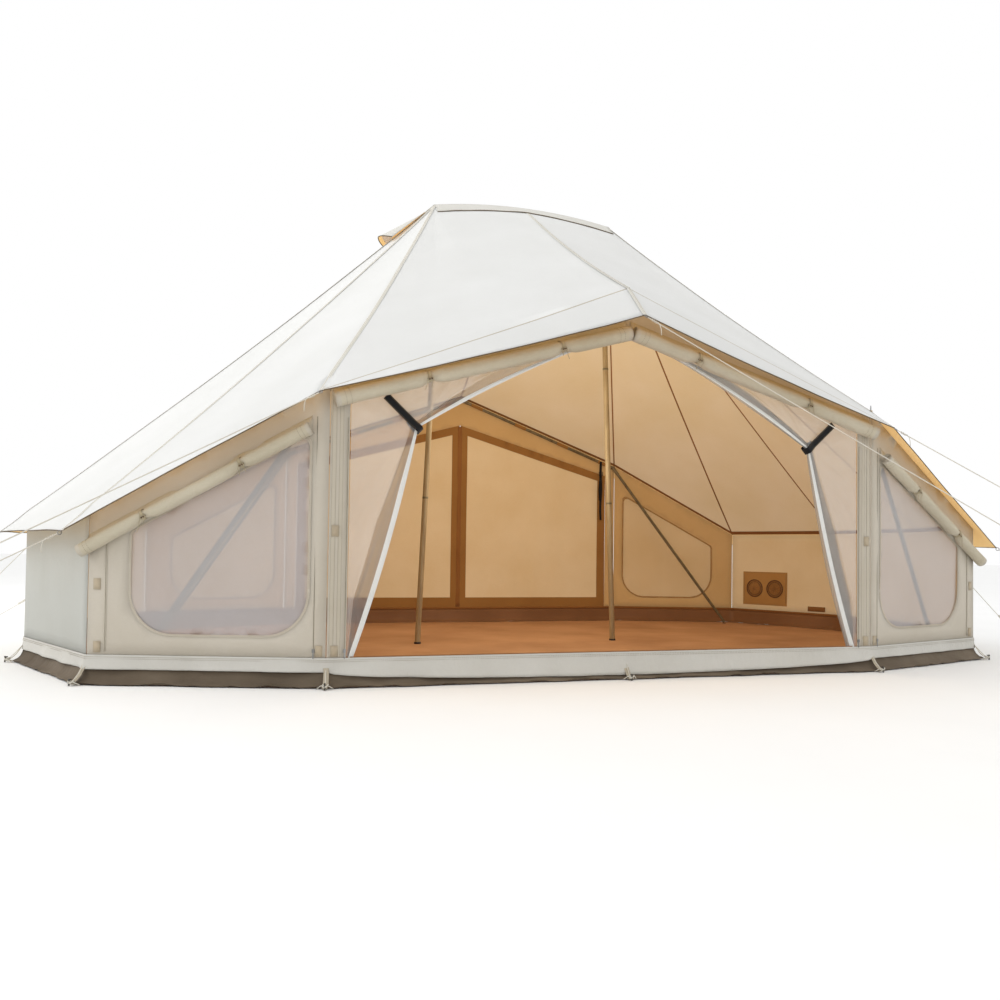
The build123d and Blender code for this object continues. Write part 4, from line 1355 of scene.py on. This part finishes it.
INSIDE_DOWN = DOWN[:27]
for a, b, columns in GORES:
    if b != "peak":
        inner_band([roof_point(a, b, 0.0, t) for t in INSIDE_DOWN])
for sx in (1, -1):
    inner_band([roof_point((sx, -1, "end"), (sx, 1, "end"), 1.0, t) for t in INSIDE_DOWN])
for sy in (-1, 1):
    inner_band([roof_point((1, sy, "door"), "peak", 0.0, t) for t in INSIDE_DOWN])
inner_seams.finish("roof_seam_tapes", "canvas", [DARK_TAPE])
join = Cloth()
for a, b, columns in GORES:
    rows = [[roof_point(a, b, i / columns, t) - UP * 0.004 for i in range(columns + 1)]
            for t in (WALL_LINE * 0.984, WALL_LINE * 0.998)]
    join.grid(rows, out=Vector((0, 0, -1)))
join.finish("wall_join_tape", "canvas", [DARK_TAPE])

# %% [markdown]
# The A-frame carries the roof over each doorway. Short tabs of canvas are sewn to the roof and close round
# each rafter. They repeat evenly, so Geometry Nodes make them: a path is resampled to the spacing, and one
# small shape is set at each point and turned along the path.

# %% Repeats along a path
def repeat_along(name, lines, shape, spacing, material, axis="Z", body="tent"):
    """Set a small mesh along every line; the tree is built here and its result made a plain mesh."""
    data = bpy.data.meshes.new(name)
    points, edges = [], []
    for line in lines:
        first = len(points)
        points += [tuple(p) for p in line]
        edges += [(first + i, first + i + 1) for i in range(len(line) - 1)]
    data.from_pydata(points, edges, [])
    piece = add_object(name, data)
    tree = bpy.data.node_groups.new(name + "_repeat", "GeometryNodeTree")
    interface = tree.interface
    interface.new_socket("Geometry", in_out="INPUT", socket_type="NodeSocketGeometry")
    gap = interface.new_socket("Spacing", in_out="INPUT", socket_type="NodeSocketFloat")
    part = interface.new_socket("Shape", in_out="INPUT", socket_type="NodeSocketObject")
    finish = interface.new_socket("Finish", in_out="INPUT", socket_type="NodeSocketMaterial")
    interface.new_socket("Geometry", in_out="OUTPUT", socket_type="NodeSocketGeometry")
    made = {kind: tree.nodes.new(kind) for kind in (
        "NodeGroupInput", "GeometryNodeMeshToCurve", "GeometryNodeResampleCurve", "GeometryNodeObjectInfo",
        "GeometryNodeInputTangent", "FunctionNodeAlignEulerToVector", "GeometryNodeInstanceOnPoints",
        "GeometryNodeRealizeInstances", "GeometryNodeSetMaterial", "NodeGroupOutput")}
    source, to_curve, resample, info, tangent, align, place, real, dress, result = made.values()
    resample.mode = "LENGTH"
    align.axis = axis
    for output, target in (
            (source.outputs["Geometry"], to_curve.inputs["Mesh"]),
            (to_curve.outputs["Curve"], resample.inputs["Curve"]),
            (source.outputs["Spacing"], resample.inputs["Length"]),
            (source.outputs["Shape"], info.inputs["Object"]),
            (resample.outputs["Curve"], place.inputs["Points"]),
            (info.outputs["Geometry"], place.inputs["Instance"]),
            (tangent.outputs["Tangent"], align.inputs["Vector"]),
            (align.outputs["Rotation"], place.inputs["Rotation"]),
            (place.outputs["Instances"], real.inputs["Geometry"]),
            (real.outputs["Geometry"], dress.inputs["Geometry"]),
            (source.outputs["Finish"], dress.inputs["Material"]),
            (dress.outputs["Geometry"], result.inputs["Geometry"])):
        tree.links.new(output, target)
    maker = piece.modifiers.new("repeat", "NODES")
    maker.node_group = tree
    maker[gap.identifier] = spacing
    maker[part.identifier] = shape
    maker[finish.identifier] = material
    solid = bpy.data.meshes.new_from_object(piece.evaluated_get(bpy.context.evaluated_depsgraph_get()))
    piece.modifiers.remove(maker)
    piece.data = solid
    solid.name = name
    bpy.data.node_groups.remove(tree)
    bpy.data.objects.remove(shape)
    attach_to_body(piece, body)
    print(name, len(solid.polygons), "faces")
    return piece


def small_shape(name, points, faces):
    data = bpy.data.meshes.new(name)
    data.from_pydata([tuple(p) for p in points], [], faces)
    return bpy.data.objects.new(name, data)


def small_bar(name, wide, deep, long):
    """A bar along Z with tapered ends, of ten faces."""
    points = []
    for z, k in ((-0.5, 0.45), (-0.3, 1.0), (0.3, 1.0), (0.5, 0.45)):
        points += [(x * wide * k / 2, y * deep * k / 2, z * long)
                   for x, y in ((-1, -1), (1, -1), (1, 1), (-1, 1))]
    faces = [(3, 2, 1, 0), (12, 13, 14, 15)]
    for j in range(3):
        faces += [(4 * j + i, 4 * j + (i + 1) % 4, 4 * j + 4 + (i + 1) % 4, 4 * j + 4 + i) for i in range(4)]
    return small_shape(name, points, faces)


FRAME_DROP, FRAME_IN = 0.024, 0.017
rafter_lines = []
for sx, sy in QUARTERS:
    crown = peak(sy) - Vector((0, sy * FRAME_IN, FRAME_DROP))
    elbow = corner(sx, sy, "door") - Vector((sx * FRAME_IN, sy * FRAME_IN, FRAME_DROP))
    rafter_lines.append([lerp(crown, elbow, k) for k in (0.10, 0.5, 0.93)])
tab_points, tab_faces = [], []
for j, z in enumerate((-0.056, -0.053, 0.053, 0.056)):
    for i in range(10):
        swell = 0.0 if j in (0, 3) else 0.0016
        tab_points.append(((0.0134 + swell) * cos(2 * pi * i / 10),
                           (0.0134 + swell) * sin(2 * pi * i / 10), z))
for j in range(3):
    tab_faces += [(10 * j + i, 10 * j + (i + 1) % 10, 10 * j + 10 + (i + 1) % 10, 10 * j + 10 + i)
                  for i in range(10)]
repeat_along("rafter_tabs", rafter_lines, small_shape("tab", tab_points, tab_faces), 0.43, STRIP_LINING)

# %% [markdown]
# Zips. The CAD has each zip's tape. Its teeth are a row of small bars across the tape, three millimetres
# apart. On the open doors and rolled windows only the fixed half of each zip shows.

# %% Zip teeth
ZIP_FROM, ZIP_TO = 0.152, 1.248
zip_lines = []
for sx in (1, -1):
    for b, distance in (("peak", 0.082), ((sx, -1, "low"), 0.060)):
        foot, along, out, _ = wall_frame((sx, -1, "door"), b)
        base = foot + along * distance + out * 0.0038
        zip_lines.append([base + UP * ZIP_FROM, base + UP * ZIP_TO])
rear_zip = [Vector((0, 1.7435, z)) for z in (0.135, 1.715)]
zip_lines.append(rear_zip)
repeat_along("zip_teeth", zip_lines, small_bar("tooth", 0.0044, 0.0022, 0.0018), 0.003, ZIP_TEETH)

# %% [markdown]
# Thread. Each seam is sewn with rows of lockstitch. One stitch is a short bar that lies proud of the cloth.
# The rows follow the lines kept while the seams were made.

# %% Stitches
def small_stitch(wide, long):
    """A stitch along Z: three sides of a flat bar, of six faces."""
    ring = [(wide * cos(2 * pi * k / 3) / 2, wide * sin(2 * pi * k / 3) / 2) for k in range(3)]
    points = [(x, y, z) for z in (-long / 2, long / 2) for x, y in ring]
    faces = [(k, (k + 1) % 3, 3 + (k + 1) % 3, 3 + k) for k in range(3)]
    return small_shape("stitch", points, faces)


repeat_along("seam_stitches", seam_lines, small_stitch(0.0018, 0.0055), 0.0095, THREAD)

# %% [markdown]
# Small things on the walls: squares of hook tape that hold the zips' flaps shut, a second zip at each
# window panel's far edge, and the spike of each A-frame, which stands out through an eyelet in the roof.

# %% Hook-tape squares, window zips and spikes
HOOK_TAPE = woven("hook_tape", rgb(190, 176, 152), rgb(176, 160, 136), weave=1400.0, crease=0.1)
tabs, far_zips, spikes = Cloth(), Cloth(), Cloth()
far_zip_lines = []
for sx, sy in QUARTERS:
    low = (sx, sy, "low")
    span = wall_frame((sx, sy, "door"), low)[3]
    for b, u, v in ((low, span - 0.045, 0.46), (low, span - 0.050, 0.17), (low, 0.035, 0.165),
                    ("peak", 0.034, 0.165), ("peak", 0.030, 0.72)):
        place = on_wall((sx, sy, "door"), b, lift=CLOTH + 0.0024)
        tabs.grid([[place(u + 0.017 * i, v + 0.026 * j) for i in (-1, 0, 1)] for j in (-1, 0, 1)],
                  out=wall_frame((sx, sy, "door"), b)[2])
    if sy < 0:
        place = on_wall((sx, sy, "door"), low, bulge=0.012, folds=0.007, seed=sx * 3.0 + sy)
        out = wall_frame((sx, sy, "door"), low)[2]
        heights = [lerp(0.15, wall_top((sx, sy, "door"), low, span - 0.085) - 0.2, k / 16) for k in range(17)]
        far_zips.grid([[place(span - 0.085 + shift, v) + out * (CLOTH + 0.0012) for shift in (-0.006, 0.006)]
                       for v in heights], out=out)
        far_zip_lines.append([place(span - 0.085, v) + out * (CLOTH + 0.0022) for v in heights])
for sy in (-1, 1):
    foot = roof_point((1, sy, "door"), "peak", 1.0, WALL_LINE)
    spikes.tube([foot - UP * 0.01, foot + UP * 0.004, foot + UP * 0.03, foot + UP * 0.036],
                [0.0035, 0.0035, 0.003, 0.001], 8)
    spikes.tube([foot + UP * 0.004 + Vector((0.009 * cos(2 * pi * k / 12), 0.009 * sin(2 * pi * k / 12), 0))
                 for k in range(12)], 0.0022, 6, side=1, closed=True)
tabs.finish("hook_tape_squares", "canvas", [HOOK_TAPE], (), 0.002, lined=False)
far_zips.finish("window_far_zip_tapes", "zip_tape", [TAPE], (), 0.001, lined=False)
spikes.finish("frame_spikes", "frame_pole", [STEEL, BRASS])
repeat_along("window_far_zip_teeth", far_zip_lines, small_stitch(0.0044, 0.0018), 0.003, ZIP_TEETH)

# %% [markdown]
# The black strap by the rear door hangs from the rafter. It is one webbing loop with a ladder buckle, and
# its two tails hang below, one longer than the other.

# %% Hanging strap
strap_body, buckle = Cloth(), Cloth()
STRAP_X, STRAP_Y, STRAP_TOP = 1.35, 1.7092, 1.482


def webbing(cloth, points, wide, twist=0.0):
    rows = []
    for k, (x, y, z) in enumerate(points):
        angle = twist * k / (len(points) - 1)
        side = Vector((cos(angle), sin(angle), 0)) * wide / 2
        rows.append([Vector((x, y, z)) - side, Vector((x, y, z)), Vector((x, y, z)) + side])
    cloth.grid(rows, out=Vector((0, -1, 0)))


webbing(strap_body, [(STRAP_X, STRAP_Y + 0.004 * sin(pi * k / 6), lerp(STRAP_TOP, STRAP_TOP - 0.177, k / 6))
                     for k in range(7)], 0.024)
webbing(strap_body, [(STRAP_X + 0.004 * sin(k * 0.5), STRAP_Y - 0.001 - 0.004 * sin(pi * k / 14),
                      STRAP_TOP - lerp(0.164, 0.544, k / 14)) for k in range(15)], 0.024, 0.35)
webbing(strap_body, [(STRAP_X - 0.006 - 0.006 * sin(pi * k / 8), STRAP_Y - 0.005 - 0.005 * sin(pi * k / 8),
                      STRAP_TOP - lerp(0.177, 0.362, k / 8)) for k in range(9)], 0.024, -0.5)
for z in (STRAP_TOP - 0.160, STRAP_TOP - 0.176, STRAP_TOP - 0.192):
    buckle.tube([(STRAP_X + x, STRAP_Y - 0.004, z) for x in (-0.016, -0.008, 0.008, 0.016)], 0.0026, 8)
for side in (-1, 1):
    buckle.tube([(STRAP_X + side * 0.016, STRAP_Y - 0.004 - dy, z) for dy, z in
                 ((0, 1.388), (0.001, 1.380), (0.0015, 1.368), (0.001, 1.356), (0, 1.348))], 0.0034, 8)
strap_body.finish("hanging_webbing", "black_webbing", [BLACK_WEBBING], ["hanging_strap"], 0.0018,
                  lined=False, body="hanging_strap")
buckle.finish("hanging_buckle", "black_webbing", [BLACK_PLASTIC], body="hanging_strap")

# %% [markdown]
# The cable ports. A brown patch of doubled cloth is sewn inside an end panel, with two round openings.
# Each has a stiff ring, and inside it a sleeve of cloth that is drawn shut, so its folds run to the
# middle.

# %% Cable port patch and label
patch, rings = Cloth(), Cloth()
PATCH_HALF, PATCH_AT, PORT_APART, PORT_SIZE = (0.22, 0.15), (0.34, 0.33), 0.20, 0.076
low, end = (1, 1, "low"), (1, 1, "end")
inward = wall_frame(low, end)[2] * -1


def on_patch(x, z, lift=0.0):
    place = on_wall(low, end, bulge=0.008, folds=0.006, seed=3.0)
    return place(PATCH_AT[0] + x, PATCH_AT[1] + z) + inward * (0.0035 + lift)


patch.grid([[on_patch(PATCH_HALF[0] * x / 10, PATCH_HALF[1] * z / 8,
                      0.0025 * (1 - abs(x / 10) ** 6) * (1 - abs(z / 8) ** 6))
             for x in range(-10, 11)] for z in range(-8, 9)], out=inward)
for k in (-0.94, 0.94):
    rings.tube([on_patch(PATCH_HALF[0] * x / 10, PATCH_HALF[1] * k, 0.0015) for x in range(-9, 10)],
               0.0011, 4, side=1)
    rings.tube([on_patch(PATCH_HALF[0] * k, PATCH_HALF[1] * z / 8, 0.0015) for z in range(-7, 8)],
               0.0011, 4, side=1)
for way in (-1, 1):
    middle = way * PORT_APART / 2
    for size, thick, lift in ((PORT_SIZE, 0.0045, 0.007), (PORT_SIZE * 0.78, 0.0022, 0.008)):
        rings.tube([on_patch(middle + size * cos(2 * pi * k / 28), size * sin(2 * pi * k / 28), lift)
                    for k in range(28)], thick, 8, closed=True)
    sleeve = []
    for j in range(7):
        size = PORT_SIZE * (1 - j / 6.4)
        sleeve.append([on_patch(middle + size * cos(2 * pi * k / 48), size * sin(2 * pi * k / 48),
                                0.005 + 0.003 * sin(2 * pi * k / 48 * 12) * (0.3 + 0.7 * j / 6)
                                + 0.008 * (j / 6) ** 2) for k in range(49)])
    patch.grid(sleeve, side=1, out=inward)
# The sleeve's glow is painted light: daylight through the cloth.
SLEEVE = woven("port_sleeve", rgb(164, 120, 72), rgb(130, 92, 52), crease=0.4, glow=0.08)
RING = metal("port_ring", rgb(104, 72, 42), rgb(84, 56, 32), 0.5, 0.0)
patch.finish("cable_port_cloth", "canvas", [PATCH, SLEEVE], ["cable_port_patch"])
rings.finish("cable_port_rings", "canvas", [RING, THREAD])
label = Cloth()
place = on_wall(low, end, bulge=0.008, folds=0.006, seed=3.0, lift=-0.0055)
label.grid([[place(0.76 + 0.16 * i / 6, 0.150 + 0.042 * j / 2) for i in range(7)] for j in range(3)],
           out=inward)
label.finish("bare_label", "canvas", [LABEL], (), 0.001, lined=False)

# %% [markdown]
# Loops round the foot. At each corner and at both sills a folded webbing comes down from the band to a
# peg, with a short rope tied through it. Each one lies a little differently.

# %% Peg loops and ties
loops, knots = Cloth(), Cloth()
peg_places = [(corner(*here, z=0.0), corner_out(here).normalized()) for here in AROUND]
peg_places += [(Vector((0, sy * PLAN["door"][1], 0)), Vector((0, sy, 0))) for sy in (-1, 1)]
for number, (at, out) in enumerate(peg_places):
    across = Vector((-out.y, out.x, 0))
    shift = 0.006 * noise.noise(at * 3.0)
    route = [(0.008, 0.088, 0), (0.018, 0.070, 1), (0.036, 0.042, 1), (0.058, 0.021, 1), (0.078, 0.013, 0),
             (0.088, 0.009, 0), (0.080, 0.006, 0), (0.058, 0.006, -1), (0.036, 0.010, -1)]
    loops.grid([[at + out * reach + across * (side * 0.0125 + shift * bend) + UP * z
                 for side in (-1, -0.3, 0.3, 1)]
                for reach, z, bend in route], out=UP + out)
    tie = at + out * 0.080
    for turn in range(2):
        knots.tube([tie + out * (0.013 * cos(t)) + across * (0.013 * sin(t) + 0.003 * turn)
                    + UP * (0.016 + 0.005 * turn + 0.004 * sin(2 * t + number)) for t in
                    [2 * pi * k / 14 for k in range(14)]], 0.0022, 6, closed=True)
    for way in (-1, 1):
        knots.tube([tie + across * (way * 0.008) + UP * 0.020,
                    tie + across * (way * 0.020) + out * 0.004 * way + UP * 0.017,
                    tie + across * (way * 0.030) - out * 0.010 + UP * 0.008,
                    tie + across * (way * 0.036) - out * (0.018 + shift) + UP * 0.0035], 0.0021, 6)
    knots.tube([tie - out * 0.006 + UP * 0.014, tie - out * 0.020 + UP * 0.030 + across * shift,
                tie - out * 0.042 + UP * 0.052, tie - out * 0.064 + UP * 0.078], 0.0021, 6)
loops.finish("peg_loop_webbing", "beige_webbing", [WEBBING], ["peg_loops"], 0.0015, lined=False)
knots.finish("peg_loop_ties", "rope", [ROPE])

# %% [markdown]
# Each guy rope is knotted to its ring: two turns round the rope and a short free end.

# %% Rope knots at the eave
eave_knots = Cloth()
for name, (ring_end, peg_end) in ROPES.items():
    start, stop = Vector(ring_end), Vector(peg_end)
    line = (stop - start).normalized()
    side = line.cross(UP).normalized()
    upper = side.cross(line)
    turns = [start + line * (0.020 + 0.0026 * k / 2)
             + (side * cos(pi * k / 4) + upper * sin(pi * k / 4)) * 0.0046
             for k in range(26)]
    eave_knots.tube(turns, 0.0021, 6)
    eave_knots.tube([turns[-1], turns[-1] + line * 0.012 - UP * 0.010 + side * 0.006,
                     turns[-1] + line * 0.020 - UP * 0.030 + side * 0.004,
                     turns[-1] + line * 0.022 - UP * 0.055], 0.0020, 6)
eave_knots.finish("eave_knots", "rope", [ROPE])

# %% [markdown]
# More strips. A crease runs along each brow from the door's peak to the eave's corner, and its shade is
# painted as a narrow grey strip of tape-coloured cloth over it. Inside, a dark flap covers the rear door's
# zip, and a dark tape hems the walls just above the floor's upturned edge.

# %% Brow crease shade, zip flap and foot hem
brows = Cloth()
BROW_AT = lerp(WALL_LINE, 1.0, BROW_FOLD)
for sx, sy in QUARTERS:
    a = (sx, sy, "door")
    brows.grid([[roof_point(a, "peak", s / 40, BROW_AT + shift) + UP * 0.0018 for shift in (-0.0022, 0.0022)]
                for s in range(41)], out=UP)
# The brow strip is painted shade: a grey line standing for the brow's crease.
brows.finish("brow_seams", "canvas", [TAPE], (), 0.0012, lined=False)
flap, foot_hem = Cloth(), Cloth()
flap.grid([[Vector((x, 1.7360 + 0.003 * abs(x) / 0.019 + 0.002 * noise.noise(Vector((x, 0, z * 4))), z))
            for x in (-0.019, -0.012, 0.0, 0.012, 0.019)]
           for z in [lerp(0.137, 1.74, k / 30) for k in range(31)]],
          out=Vector((0, -1, 0)))
flap.finish("rear_zip_flap", "canvas", [DARK_TAPE], (), 0.0012, lined=False)


def hem_profile(a, b, s, here):
    return [(-0.0062, 0.118), (-0.0070, 0.128), (-0.0062, 0.137)]


around_foot(foot_hem, hem_profile, facing_out=False)
foot_hem.finish("foot_hem_tape", "canvas", [DARK_TAPE], (), 0.001, lined=False)

# %% [markdown]
# Each centre pole is three tubes pushed together. A thin dark ring shows where two tubes meet.

# %% Pole joint rings
POLE_FOOT, POLE_HEAD, POLE_RADIUS = (0.715, 0.019), (0.601, 2.939), 0.019
rings = Cloth()
for sx in (1, -1):
    foot = Vector((sx * POLE_FOOT[0], 0, POLE_FOOT[1]))
    head = Vector((sx * POLE_HEAD[0], 0, POLE_HEAD[1]))
    up_pole = (head - foot).normalized()
    for share in (1 / 3, 2 / 3):
        middle = lerp(foot, head, share)
        rings.grid([[middle + up_pole * z + Vector((cos(2 * pi * k / 24), sin(2 * pi * k / 24), 0))
                     * (POLE_RADIUS + swell) for k in range(25)]
                    for z, swell in ((-0.007, 0.0002), (-0.006, 0.0012), (0.006, 0.0012), (0.007, 0.0002))],
                   inside=middle)
rings.finish("pole_joint_rings", "steel_pole", [FRAME_POLE])

# %% [markdown]
# Finishes for the CAD's own pieces, and the floor under the tent.

# %% Finishes by node
FINISHES = {
    "centre_pole": POLE, "a_frame": FRAME_POLE, "ridge_pole": POLE, "pole_feet": BLACK_PLASTIC,
    "zip_slider": STEEL, "zip_tracks": TAPE, "wall_pegs": PEG_STEEL, "guy_pegs": PEG_STEEL,
    "eave_rings": STEEL, "runner": RUNNER_PLASTIC, "hanging_strap": BLACK_WEBBING,
}
for name, thing in nodes.items():
    for part, material in FINISHES.items():
        if part in name:
            for slot in thing.material_slots:
                slot.material = material

ground_mesh = bpy.data.meshes.new("pale_floor")
ground_mesh.from_pydata([(-60, -60, -0.002), (60, -60, -0.002), (60, 60, -0.002), (-60, 60, -0.002)], [],
                        [(0, 1, 2, 3)])
GROUND = coated("pale_ground", rgb(247, 247, 246), rgb(245, 245, 244), 0.9, 0.0, 1.0)
ground = add_object("pale_floor", ground_mesh, GROUND)
